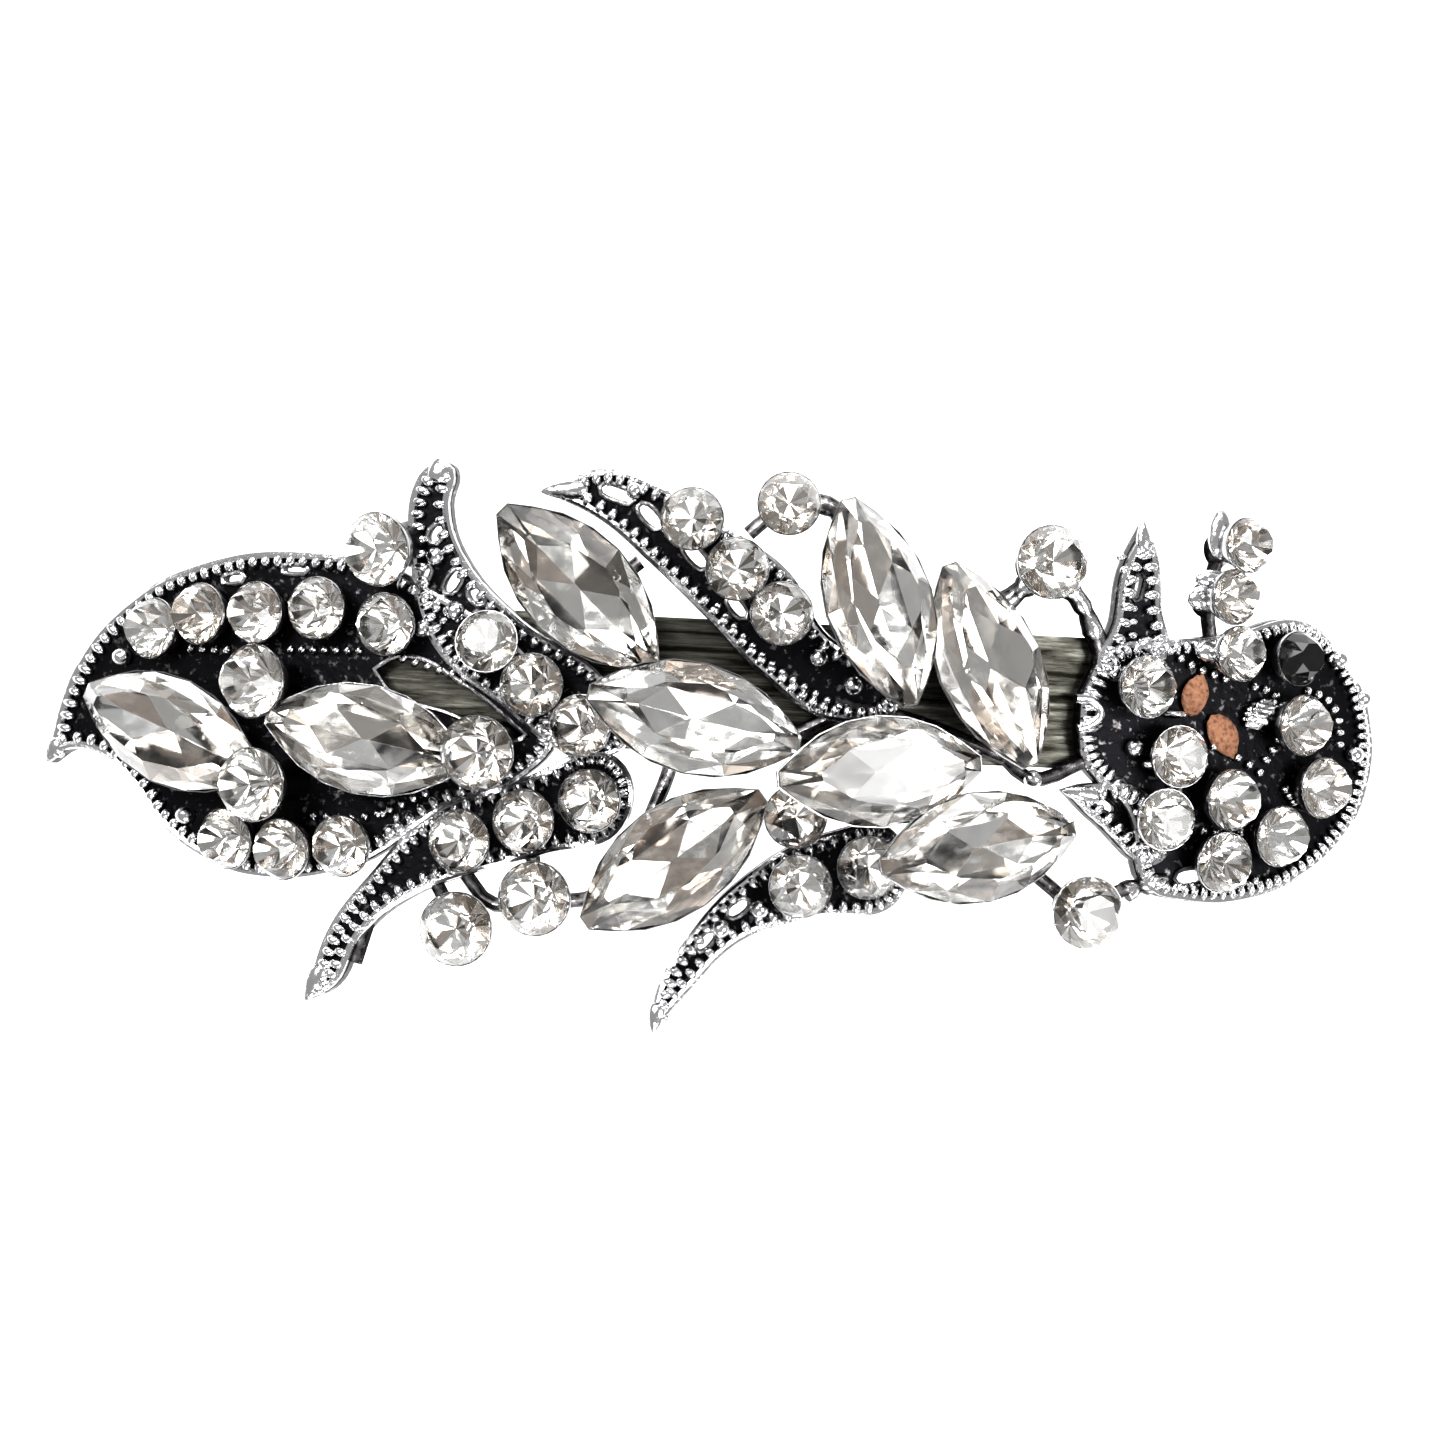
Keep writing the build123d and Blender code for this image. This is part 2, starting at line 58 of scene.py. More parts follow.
def onArch(x, y, height=0.0):
    angle = math.asin(x / arch["radius"])
    reach = arch["radius"] + height
    return Vector((reach * math.sin(angle), y, archCentreZ + reach * math.cos(angle)))


def bendMesh(bm):
    # flat layout to its place on the arch, still in millimetres
    for vert in bm.verts:
        vert.co = onArch(*vert.co)


def sliceAcross(bm, step):
    # cuts across the length, so that long faces can follow the arch
    low = min(v.co.x for v in bm.verts)
    high = max(v.co.x for v in bm.verts)
    for number in range(1, int((high - low) / step) + 1):
        geometry = bm.verts[:] + bm.edges[:] + bm.faces[:]
        bmesh.ops.bisect_plane(bm, geom=geometry, dist=1e-5, plane_co=(low + number * step, 0, 0),
                               plane_no=(1, 0, 0))


def finishPiece(name, bm, materials, slotName, body=clipBody, smooth=True, sharpAngle=40, weld=1e-4):
    # millimetre mesh to a finished piece that rides on a body
    if weld:
        bmesh.ops.remove_doubles(bm, verts=bm.verts[:], dist=weld)
        bmesh.ops.recalc_face_normals(bm, faces=bm.faces[:])
    bmesh.ops.scale(bm, vec=(mm, mm, mm), verts=bm.verts[:])
    for face in bm.faces:
        face.smooth = smooth
    if smooth:
        for edge in bm.edges:
            if len(edge.link_faces) == 2 and edge.calc_face_angle(0) > math.radians(sharpAngle):
                edge.smooth = False
    mesh = bpy.data.meshes.new(name)
    bm.to_mesh(mesh)
    bm.free()
    for material in materials:
        mesh.materials.append(material)
    piece = bpy.data.objects.new(name, mesh)
    bpy.context.scene.collection.objects.link(piece)
    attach(piece, body)
    return piece


def curveMesh(curve):
    # a curve's finished surface as a bmesh
    holder = bpy.data.objects.new(curve.name, curve)
    bpy.context.scene.collection.objects.link(holder)
    bpy.context.view_layer.update()
    mesh = bpy.data.meshes.new_from_object(holder.evaluated_get(bpy.context.evaluated_depsgraph_get()))
    bm = bmesh.new()
    bm.from_mesh(mesh)
    bpy.data.objects.remove(holder)
    bpy.data.curves.remove(curve)
    bpy.data.meshes.remove(mesh)
    return bm


def addInto(bm, other):
    # joins one bmesh into another
    mesh = bpy.data.meshes.new("joined")
    other.to_mesh(mesh)
    other.free()
    bm.from_mesh(mesh)
    bpy.data.meshes.remove(mesh)


def newMaterial(name):
    # a new material with the parts of its node tree
    material = bpy.data.materials.new(name)
    material.use_nodes = True
    nodes = material.node_tree.nodes
    return material, nodes, material.node_tree.links, nodes["Principled BSDF"]


def mathNode(nodes, links, operation, first, second=None):
    # one sum in a node tree, from sockets or plain numbers
    node = nodes.new("ShaderNodeMath")
    node.operation = operation
    for socket, value in zip(node.inputs, (first, second)):
        if value is None:
            continue
        if isinstance(value, (int, float)):
            socket.default_value = value
        else:
            links.new(value, socket)
    return node.outputs[0]


def remap(nodes, links, value, fromLow, fromHigh, toLow=0.0, toHigh=1.0):
    # one range stretched onto another
    node = nodes.new("ShaderNodeMapRange")
    node.inputs["From Min"].default_value = fromLow
    node.inputs["From Max"].default_value = fromHigh
    node.inputs["To Min"].default_value = toLow
    node.inputs["To Max"].default_value = toHigh
    links.new(value, node.inputs["Value"])
    return node.outputs["Result"]


def noise(nodes, links, scale, detail=3.0, stretch=(1, 1, 1), roughness=0.55):
    # cloudy pattern around a half, laid out in the piece's own metres
    place = nodes.new("ShaderNodeTexCoord")
    mapping = nodes.new("ShaderNodeMapping")
    mapping.inputs["Scale"].default_value = stretch
    texture = nodes.new("ShaderNodeTexNoise")
    texture.inputs["Scale"].default_value = scale
    texture.inputs["Detail"].default_value = detail
    texture.inputs["Roughness"].default_value = roughness
    links.new(place.outputs["Object"], mapping.inputs["Vector"])
    links.new(mapping.outputs["Vector"], texture.inputs["Vector"])
    return texture.outputs["Fac"]


def wobble(nodes, links, pattern, reach):
    # a pattern moved to swing evenly about nought
    return mathNode(nodes, links, "MULTIPLY", mathNode(nodes, links, "SUBTRACT", pattern, 0.5), reach)


def ramp(nodes, links, value, stops):
    # colours between the given stops
    node = nodes.new("ShaderNodeValToRGB")
    elements = node.color_ramp.elements
    while len(elements) < len(stops):
        elements.new(0.5)
    for element, (position, colour) in zip(elements, stops):
        element.position = position
        element.color = (*colour, 1.0)
    links.new(value, node.inputs["Fac"])
    return node.outputs["Color"]


def bump(nodes, links, shader, height, strength, distance):
    # fine relief, with its depth in metres
    node = nodes.new("ShaderNodeBump")
    node.inputs["Strength"].default_value = strength
    node.inputs["Distance"].default_value = distance
    links.new(height, node.inputs["Height"])
    links.new(node.outputs["Normal"], shader.inputs["Normal"])


silverFinish = {
    "patina": (0.006, 0.006, 0.007),      # black left in the recesses
    "tarnish": (0.16, 0.15, 0.15),
    "silver": (0.74, 0.74, 0.75),
    "blackBelow": -0.26, "brightAbove": -0.07,   # mm above the plates
    "backFrom": -1.05, "backTo": -1.28, "backShine": 0.62,   # the rubbed underside
    "grainScale": 1600.0, "grainDetail": 4.0, "grainReach": 0.32,
    "glintScale": 1900.0, "glintFrom": 0.60, "glintTo": 0.72, "glintShine": 0.5,
    "darkRoughness": 0.42, "brightRoughness": 0.16,
    "bumpStrength": 0.45, "bumpDepth": 0.15,
}


def antiqueSilver():
    # black in the low places, bright on whatever stands up from the plates
    material, nodes, links, shader = newMaterial("antiqueSilver")
    finish = silverFinish
    place = nodes.new("ShaderNodeTexCoord")
    split = nodes.new("ShaderNodeSeparateXYZ")
    links.new(place.outputs["Object"], split.inputs["Vector"])
    fromCentre = mathNode(nodes, links, "SUBTRACT", split.outputs["Z"], archCentreZ * mm)
    squares = mathNode(nodes, links, "ADD", mathNode(nodes, links, "POWER", split.outputs["X"], 2.0),
                       mathNode(nodes, links, "POWER", fromCentre, 2.0))
    height = mathNode(nodes, links, "SUBTRACT", mathNode(nodes, links, "SQRT", squares), arch["radius"] * mm)
    grain = noise(nodes, links, finish["grainScale"], finish["grainDetail"])
    level = mathNode(nodes, links, "ADD", height, wobble(nodes, links, grain, finish["grainReach"] * mm))
    raised = remap(nodes, links, level, finish["blackBelow"] * mm, finish["brightAbove"] * mm)
    back = remap(nodes, links, height, finish["backFrom"] * mm, finish["backTo"] * mm, 0.0,
                 finish["backShine"])
    sparks = noise(nodes, links, finish["glintScale"])
    glints = remap(nodes, links, sparks, finish["glintFrom"], finish["glintTo"], 0.0, finish["glintShine"])
    amount = mathNode(nodes, links, "MAXIMUM", mathNode(nodes, links, "MAXIMUM", raised, back), glints)
    colour = ramp(nodes, links, amount, [(0.0, finish["patina"]), (0.5, finish["tarnish"]),
                                         (1.0, finish["silver"])])
    rough = remap(nodes, links, amount, 0.0, 1.0, finish["darkRoughness"], finish["brightRoughness"])
    links.new(colour, shader.inputs["Base Color"])
    links.new(rough, shader.inputs["Roughness"])
    shader.inputs["Metallic"].default_value = 1.0
    bump(nodes, links, shader, grain, finish["bumpStrength"], finish["bumpDepth"] * mm)
    return material


cupFinish = {
    "worn": (0.22, 0.21, 0.21),
    "lip": (0.46, 0.46, 0.47),
    "patinaAt": 0.12, "wornAt": 0.5, "lipAt": 0.9,
    "grainScale": 1300.0, "grainDetail": 4.0, "grainReach": 0.9,
    "darkRoughness": 0.4, "brightRoughness": 0.15,
    "bumpStrength": 0.3, "bumpDepth": 0.1,
}


def cupSilver():
    # lips rubbed bright, walls dark; the rubbing is painted on the mesh as "rubbed"
    material, nodes, links, shader = newMaterial("cupSilver")
    finish = cupFinish
    rubbed = nodes.new("ShaderNodeAttribute")
    rubbed.attribute_name = "rubbed"
    grain = noise(nodes, links, finish["grainScale"], finish["grainDetail"])
    uneven = wobble(nodes, links, grain, finish["grainReach"])
    amount = mathNode(nodes, links, "ADD", rubbed.outputs["Fac"], uneven)
    colour = ramp(nodes, links, amount, [(finish["patinaAt"], silverFinish["patina"]),
                                         (finish["wornAt"], finish["worn"]),
                                         (finish["lipAt"], finish["lip"])])
    rough = remap(nodes, links, amount, 0.0, 1.0, finish["darkRoughness"], finish["brightRoughness"])
    links.new(colour, shader.inputs["Base Color"])
    links.new(rough, shader.inputs["Roughness"])
    shader.inputs["Metallic"].default_value = 1.0
    bump(nodes, links, shader, grain, finish["bumpStrength"], finish["bumpDepth"] * mm)
    return material


nickelFinish = {
    "streakScale": 90.0, "streakDetail": 6.0, "streakStretch": (1.0, 22.0, 6.0), "streakRoughness": 0.7,
    "blotchScale": 260.0, "blotchDetail": 3.0, "blotchStretch": (1.0, 2.5, 1.0),
    "streakShare": 0.75,
    "darkAt": 0.42, "middleAt": 0.54, "lightAt": 0.66,
    "middleLight": 0.3,      # share of the light colour at the middle stop
    "dullFrom": 0.3, "polishedFrom": 0.7, "dulling": 0.14,
    "bumpStrength": 0.35, "bumpDepth": 0.08,
}


def brushedNickel(name, dark, light, roughness):
    # lengthwise streaks in worn plating
    material, nodes, links, shader = newMaterial(name)
    finish = nickelFinish
    share = finish["streakShare"]
    streak = noise(nodes, links, finish["streakScale"], finish["streakDetail"], finish["streakStretch"],
                   finish["streakRoughness"])
    blotch = noise(nodes, links, finish["blotchScale"], finish["blotchDetail"], finish["blotchStretch"])
    mixed = mathNode(nodes, links, "ADD", mathNode(nodes, links, "MULTIPLY", streak, share),
                     mathNode(nodes, links, "MULTIPLY", blotch, 1.0 - share))
    lightShare = finish["middleLight"]
    middle = tuple((1.0 - lightShare) * a + lightShare * b for a, b in zip(dark, light))
    colour = ramp(nodes, links, mixed, [(finish["darkAt"], dark), (finish["middleAt"], middle),
                                        (finish["lightAt"], light)])
    rough = remap(nodes, links, streak, finish["dullFrom"], finish["polishedFrom"],
                  roughness + finish["dulling"], roughness)
    links.new(colour, shader.inputs["Base Color"])
    links.new(rough, shader.inputs["Roughness"])
    shader.inputs["Metallic"].default_value = 1.0
    bump(nodes, links, shader, streak, finish["bumpStrength"], finish["bumpDepth"] * mm)
    return material


glassFinish = {"colour": (0.985, 0.985, 0.975), "roughness": 0.0, "refraction": 1.56}


def clearGlass():
    # the front of a clear stone
    material, nodes, links, shader = newMaterial("clearGlass")
    shader.inputs["Base Color"].default_value = (*glassFinish["colour"], 1.0)
    shader.inputs["Roughness"].default_value = glassFinish["roughness"]
    shader.inputs["IOR"].default_value = glassFinish["refraction"]
    shader.inputs["Transmission Weight"].default_value = 1.0
    return material


# foil colours from dark through tan to white; the dark and the white facets they give are painted reflection
foilFinish = {
    "stops": [(0.0, (0.12, 0.115, 0.105)), (0.22, (0.42, 0.385, 0.34)), (0.36, (0.68, 0.59, 0.52)),
              (0.5, (0.74, 0.73, 0.70)), (0.75, (0.95, 0.94, 0.92)), (1.0, (1.0, 1.0, 1.0))],
    "smearScale": 900.0, "smearDetail": 3.0, "smearStretch": (1.0, 1.6, 1.0),
    "smearLow": 0.3, "smearHigh": 0.7, "polished": 0.05, "smeared": 0.16,
}


def foilBacking(name, cloudy):
    # mirror foil behind a stone; each facet has its own tint and a painted reflection, one value from dark to
    # white stored on the mesh
    material, nodes, links, shader = newMaterial(name)
    finish = foilFinish
    tintAndReflection = nodes.new("ShaderNodeAttribute")
    tintAndReflection.attribute_name = "tintAndReflection"
    smear = noise(nodes, links, finish["smearScale"], finish["smearDetail"], finish["smearStretch"])
    amount = mathNode(nodes, links, "ADD", tintAndReflection.outputs["Fac"], wobble(nodes, links, smear, cloudy))
    rough = remap(nodes, links, smear, finish["smearLow"], finish["smearHigh"], finish["polished"],
                  finish["smeared"])
    links.new(ramp(nodes, links, amount, finish["stops"]), shader.inputs["Base Color"])
    links.new(rough, shader.inputs["Roughness"])
    shader.inputs["Metallic"].default_value = 1.0
    return material


blackFinish = {
    "stops": [(0.3, (0.0015, 0.0015, 0.0015)), (0.8, (0.006, 0.006, 0.006))],
    "swirlScale": 700.0, "swirlDetail": 2.0,
    "swirlLow": 0.3, "swirlHigh": 0.7, "polished": 0.05, "hazy": 0.12,
    "specular": 0.35,
}


def blackGlass():
    # the eye's black stone, front and back
    material, nodes, links, shader = newMaterial("blackGlass")
    finish = blackFinish
    swirl = noise(nodes, links, finish["swirlScale"], finish["swirlDetail"])
    rough = remap(nodes, links, swirl, finish["swirlLow"], finish["swirlHigh"], finish["polished"],
                  finish["hazy"])
    links.new(ramp(nodes, links, swirl, finish["stops"]), shader.inputs["Base Color"])
    links.new(rough, shader.inputs["Roughness"])
    shader.inputs["Specular IOR Level"].default_value = finish["specular"]
    return material


glueFinish = {
    "stops": [(0.34, (0.12, 0.045, 0.02)), (0.48, (0.34, 0.14, 0.07)), (0.72, (0.46, 0.23, 0.13))],
    "speckScale": 3200.0, "speckDetail": 5.0,
    "speckLow": 0.3, "speckHigh": 0.7, "smoother": 0.75, "rougher": 0.95,
    "bumpStrength": 0.9, "bumpDepth": 0.25,
}


def bareGlue():
    # matt orange ground where small stones have fallen out
    material, nodes, links, shader = newMaterial("bareGlue")
    finish = glueFinish
    speck = noise(nodes, links, finish["speckScale"], finish["speckDetail"])
    rough = remap(nodes, links, speck, finish["speckLow"], finish["speckHigh"], finish["smoother"],
                  finish["rougher"])
    links.new(ramp(nodes, links, speck, finish["stops"]), shader.inputs["Base Color"])
    links.new(rough, shader.inputs["Roughness"])
    bump(nodes, links, shader, speck, finish["bumpStrength"], finish["bumpDepth"] * mm)
    return material


silver = antiqueSilver()
cupMetal = cupSilver()
glass = clearGlass()
foil = foilBacking("crystalFoil", 0.06)
cloudyFoil = foilBacking("cloudyFoil", 0.4)
blackStone = blackGlass()
glue = bareGlue()
barMetal = brushedNickel("barNickel", (0.006, 0.006, 0.004), (0.22, 0.215, 0.18), 0.32)
armMetal = brushedNickel("armNickel", (0.13, 0.13, 0.13), (0.42, 0.42, 0.42), 0.30)
springMetal = brushedNickel("springSteel", (0.08, 0.08, 0.09), (0.34, 0.34, 0.36), 0.26)
print("materials ready")


def castPiece(name, bm, material=silver, **shading):
    # a finished piece that stands for one part of the CAD casting
    piece = finishPiece(name, bm, [material], "antique_silver", **shading)
    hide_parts("openwork_casting")


# for blobs and closed pieces: smooth all over, and nothing welded
rounded = {"sharpAngle": 180, "weld": 0}

# the casting's plates: a black floor inside a raised rim, each a little lower than the last
plate = {
    "top": -0.3,          # the black floor inside the rim
    "bottom": -1.3,
    "edgeBevel": 0.12,
    "rimRadius": 0.27,
    "rimInset": 0.24,
    "rimHeight": -0.14,
    "rimSpacing": 0.55,
    "windowRimRadius": 0.17,
    "windowRimLift": 0.05,
    "windowSpacing": 0.45,
    "channelSpacing": 0.6,
    "channelCorners": (0, 3),
    "tipCorner": (0,),
    "drop": -0.02,
    "sliceStep": 1.5,
}
bezierSteps = 24


def lens(x, y, length, width, turn):
    # four corners of a small oval window
    angle = math.radians(turn)
    along = Vector((math.cos(angle), math.sin(angle)))
    across = Vector((-along.y, along.x))
    middle = Vector((x, y))
    return [middle + along * length / 2, middle + across * width / 2,
            middle - along * length / 2, middle - across * width / 2]


# each outline runs from the tip along its upper and its lower edge; a window is x, y, length, width, turn
leaf = {
    "upper": [(-43.3, -6.8), (-41.4, -0.4), (-37.8, 3.8), (-33.2, 6.2), (-26.6, 7.2), (-19.0, 5.6),
              (-10.0, -3.0)],
    "lower": [(-43.3, -6.8), (-41.6, -5.8), (-39.4, -6.1), (-37.2, -7.8), (-35.2, -10.1), (-32.4, -12.0),
              (-28.9, -13.1), (-22.5, -12.2), (-16.5, -8.2), (-12.5, -6.5)],
    "channel": [(-21.6, 0.1), (-20.0, 1.0), (-15.6, -0.8), (-11.8, -3.6), (-13.0, -4.0), (-16.4, -2.6),
                (-20.6, -1.2)],
    "windows": [(-31.0, 5.4, 1.6, 0.7, 8), (-27.0, 6.1, 1.8, 0.6, 0)],
}
feather1 = {
    "upper": [(-18.0, 13.2), (-17.1, 12.6), (-17.3, 10.4), (-16.4, 7.6), (-12.6, 3.6), (-7.2, 0.2),
              (-5.4, -3.4)],
    "lower": [(-18.0, 13.2), (-19.3, 12.2), (-19.6, 7.0), (-18.0, 1.8), (-13.5, -1.8), (-8.8, -4.6)],
    "windows": [(-18.1, 8.6, 1.4, 1.0, 60), (-18.7, 6.0, 1.5, 0.7, 70), (-16.9, 5.7, 1.8, 1.0, 60),
                (-15.4, 4.9, 1.5, 0.9, -50)],
}
feather2 = {
    "upper": [(-11.4, 11.4), (-8.1, 13.0), (-4.4, 12.2), (-0.5, 9.9), (3.8, 7.2), (6.0, 3.8), (11.0, -0.4)],
    "lower": [(-11.4, 11.4), (-8.0, 9.9), (-4.8, 7.4), (-1.2, 4.2), (2.4, 0.8), (7.0, -1.8)],
    "windows": [(-7.0, 11.5, 2.3, 0.95, -18), (-4.9, 10.2, 2.0, 1.0, -45), (-2.0, 7.9, 2.1, 1.0, -45),
                (0.7, 4.9, 1.8, 0.9, -48)],
}
feather3 = {
    "upper": [(-25.0, -20.6), (-23.8, -16.2), (-21.3, -12.6), (-17.5, -8.6), (-12.0, -6.2), (-6.4, -4.6)],
    "lower": [(-25.0, -20.6), (-23.2, -19.6), (-21.6, -16.4), (-19.2, -14.2), (-14.9, -12.2), (-10.4, -10.8),
              (-5.6, -8.8)],
    "windows": [],
}
feather4 = {
    "upper": [(-3.2, -21.3), (-3.3, -19.2), (-1.6, -15.6), (1.8, -11.6), (7.0, -8.6), (11.0, -8.4)],
    "lower": [(-3.2, -21.3), (-1.2, -18.8), (1.8, -15.6), (5.4, -14.1), (11.6, -12.4)],
    "windows": [(1.6, -13.5, 1.7, 0.9, 40), (-0.3, -15.6, 1.6, 0.8, 50)],
}
head = {
    "upper": [(22.2, 0.4), (24.2, 3.6), (27.4, 4.2), (31.7, 4.8), (36.6, 5.9), (39.9, 3.5), (41.8, -0.6),
              (41.6, -4.8)],
    "lower": [(22.2, 0.4), (22.6, -3.6), (25.6, -6.6), (27.0, -11.2), (29.6, -12.0), (33.6, -11.8),
              (37.8, -10.0), (40.4, -7.4)],
    "windows": [(30.0, -10.5, 2.2, 1.1, 8), (25.0, -4.9, 1.0, 0.8, 0)],
}
crestFeather = {
    "upper": [(25.9, 11.3), (26.8, 9.4), (27.2, 6.2), (27.6, 3.0)],
    "lower": [(25.9, 11.3), (24.6, 8.4), (24.2, 5.2), (23.4, 2.0)],
    "windows": [(25.7, 7.4, 1.8, 0.7, 80)],
}
wing = {
    "upper": [(21.5, -5.4), (23.4, -4.9), (26.8, -5.4)],
    "lower": [(21.5, -5.4), (23.6, -7.3), (28.0, -9.6)],
    "windows": [(24.1, -6.15, 2.0, 0.8, -30)],
}
plates = [("leaf", leaf), ("feather_1", feather1), ("feather_2", feather2), ("feather_3", feather3),
          ("feather_4", feather4), ("head", head), ("crest_feather", crestFeather), ("wing", wing)]


def addSpline(curve, points, corners=()):
    # a closed smooth line, sharp only at the numbered corners
    spline = curve.splines.new("BEZIER")
    spline.bezier_points.add(len(points) - 1)
    spline.use_cyclic_u = True
    for number, (bezier, (x, y)) in enumerate(zip(spline.bezier_points, points)):
        bezier.co = (x, y, 0)
        kind = "VECTOR" if number in corners else "AUTO"
        bezier.handle_left_type = bezier.handle_right_type = kind
    return spline


def outlineLoop(shape):
    # tip, along the upper edge to the root, and back along the lower edge
    return shape["upper"] + shape["lower"][:0:-1]


def samplePath(points, corners, cyclic, spacing):
    # evenly spaced points along the smooth line through the given ones
    curve = bpy.data.curves.new("path", "CURVE")
    spline = addSpline(curve, points, corners)
    spline.use_cyclic_u = cyclic
    holder = bpy.data.objects.new("path", curve)
    bpy.context.scene.collection.objects.link(holder)
    bpy.context.view_layer.update()
    knots = list(spline.bezier_points)
    if cyclic:
        knots.append(knots[0])
    dense = []
    for first, second in zip(knots, knots[1:]):
        between = interpolate_bezier(first.co, first.handle_right, second.handle_left, second.co, bezierSteps)
        dense += [point.to_2d() for point in between[:-1]]
    dense.append(knots[-1].co.to_2d())
    bpy.data.objects.remove(holder)
    bpy.data.curves.remove(curve)
    reached = [0.0]
    for first, second in zip(dense, dense[1:]):
        reached.append(reached[-1] + (second - first).length)
    count = max(2, round(reached[-1] / spacing))
    wanted = np.linspace(0.0, reached[-1], count + 1)
    xs = np.interp(wanted, reached, [p.x for p in dense])
    ys = np.interp(wanted, reached, [p.y for p in dense])
    line = [Vector((x, y)) for x, y in zip(xs, ys)]
    return line[:-1] if cyclic else line


def insetPath(line, distance):
    # points moved towards the inside of their loop, each with the way the line runs there
    area = sum(a.x * b.y - b.x * a.y for a, b in zip(line, line[1:] + line[:1]))
    side = 1.0 if area > 0 else -1.0
    moved = []
    for before, point, after in zip(line[-1:] + line[:-1], line, line[1:] + line[:1]):
        run = (after - before).normalized()
        moved.append((point + Vector((-run.y, run.x)) * distance * side, run))
    return moved


def plateMesh(shape, lift):
    # one plate with its openings, still flat
    curve = bpy.data.curves.new("plate", "CURVE")
    curve.dimensions = "2D"
    curve.fill_mode = "BOTH"
    curve.resolution_u = 6
    addSpline(curve, outlineLoop(shape), plate["tipCorner"])
    if "channel" in shape:
        addSpline(curve, shape["channel"], plate["channelCorners"])
    for opening in shape["windows"]:
        addSpline(curve, lens(*opening))
    curve.extrude = (plate["top"] - plate["bottom"]) / 2 - plate["edgeBevel"]
    curve.bevel_depth = plate["edgeBevel"]
    curve.offset = -plate["edgeBevel"]
    curve.bevel_resolution = 0
    bm = curveMesh(curve)
    bmesh.ops.remove_doubles(bm, verts=bm.verts[:], dist=1e-4)
    bmesh.ops.translate(bm, vec=(0, 0, (plate["top"] + plate["bottom"]) / 2 + lift), verts=bm.verts[:])
    sliceAcross(bm, plate["sliceStep"])
    return bm


def tubeMesh(line, radius, height, cyclic=True, resolution=2, lumps=0.0):
    # round bar along a line at one height
    curve = bpy.data.curves.new("tube", "CURVE")
    curve.dimensions = "3D"
    curve.bevel_depth = radius
    curve.bevel_resolution = resolution
    curve.use_fill_caps = not cyclic
    spline = curve.splines.new("POLY")
    spline.points.add(len(line) - 1)
    spline.use_cyclic_u = cyclic
    for point, place in zip(spline.points, line):
        point.co = (place.x, place.y, height, 1.0)
        point.radius = 1.0 + (random.uniform(-lumps, lumps) if lumps else 0.0)
    return curveMesh(curve)


for order, (name, shape) in enumerate(plates):
    lift = plate["drop"] * order
    bm = plateMesh(shape, lift)
    outline = samplePath(outlineLoop(shape), plate["tipCorner"], True, plate["rimSpacing"])
    edge = [point for point, run in insetPath(outline, plate["rimInset"])]
    addInto(bm, tubeMesh(edge, plate["rimRadius"], plate["rimHeight"] + lift))
    rings = [samplePath(lens(*opening), (), True, plate["windowSpacing"]) for opening in shape["windows"]]
    if "channel" in shape:
        rings.append(samplePath(shape["channel"], plate["channelCorners"], True, plate["channelSpacing"]))
    for ring in rings:
        addInto(bm, tubeMesh(ring, plate["windowRimRadius"], plate["top"] + plate["windowRimLift"] + lift))
    bendMesh(bm)
    castPiece(name + "_plate", bm)
print("plates cast")

# stems between the plates, plain ones and heavier lumpy ones
stemBar = {
    "radius": 0.46, "height": -0.6, "spacing": 0.9,
    "heavyRadius": 0.6, "heavyHeight": -0.62, "heavySpacing": 0.42, "heavyResolution": 3, "lumps": 0.3,
}
heavyStems = [
    [(20.8, 7.6), (22.0, 6.4), (22.9, 4.8), (23.4, 3.2)],
    [(25.9, -11.6), (27.2, -11.0), (28.4, -10.9)],
    [(3.8, 11.2), (6.0, 11.2), (7.4, 10.2)],
    [(16.6, 5.4), (17.9, 6.4), (18.8, 7.3)],
]
stemRoutes = [
    [(-21.4, -15.6), (-22.1, -18.1)],
    [(-17.5, -12.4), (-15.7, -15.4)],
    [(-15.4, -12.2), (-13.6, -14.0), (-10.8, -13.6), (-7.8, -13.4), (-6.2, -12.6)],
    [(-11.4, -9.0), (-11.0, -13.0)],
    [(1.2, 9.4), (3.4, 11.2), (5.8, 11.6), (8.2, 9.8)],
    [(14.4, 5.0), (17.8, 6.6), (20.0, 8.4), (22.2, 6.2), (23.9, 3.4)],
    [(18.4, -9.4), (21.0, -11.4), (23.2, -12.8), (25.6, -11.5), (27.8, -11.0)],
    [(17.8, -3.6), (19.4, -4.8), (22.8, -3.6)],
    [(7.0, -0.6), (12.0, -1.6), (17.8, -3.6)],
    [(-3.0, -3.2), (2.6, -3.4), (7.2, -1.4)],
    [(-9.4, 4.0), (-5.4, 7.4)],
    [(9.0, -5.2), (5.2, -7.2)],
    [(-4.2, -8.8), (-3.0, -3.2), (-7.4, 2.6)],
    [(14.6, -6.0), (16.0, -3.2)],
    [(30.8, 3.8), (30.4, 7.0), (31.1, 10.2)],
]
bm = bmesh.new()
for route in stemRoutes:
    line = samplePath(route, (0, len(route) - 1), False, stemBar["spacing"])
    addInto(bm, tubeMesh(line, stemBar["radius"], stemBar["height"], False))
for route in heavyStems:
    line = samplePath(route, (0, len(route) - 1), False, stemBar["heavySpacing"])
    addInto(bm, tubeMesh(line, stemBar["heavyRadius"], stemBar["heavyHeight"], False,
                         stemBar["heavyResolution"], stemBar["lumps"]))
bendMesh(bm)
castPiece("casting_stems", bm)
print("stems cast")

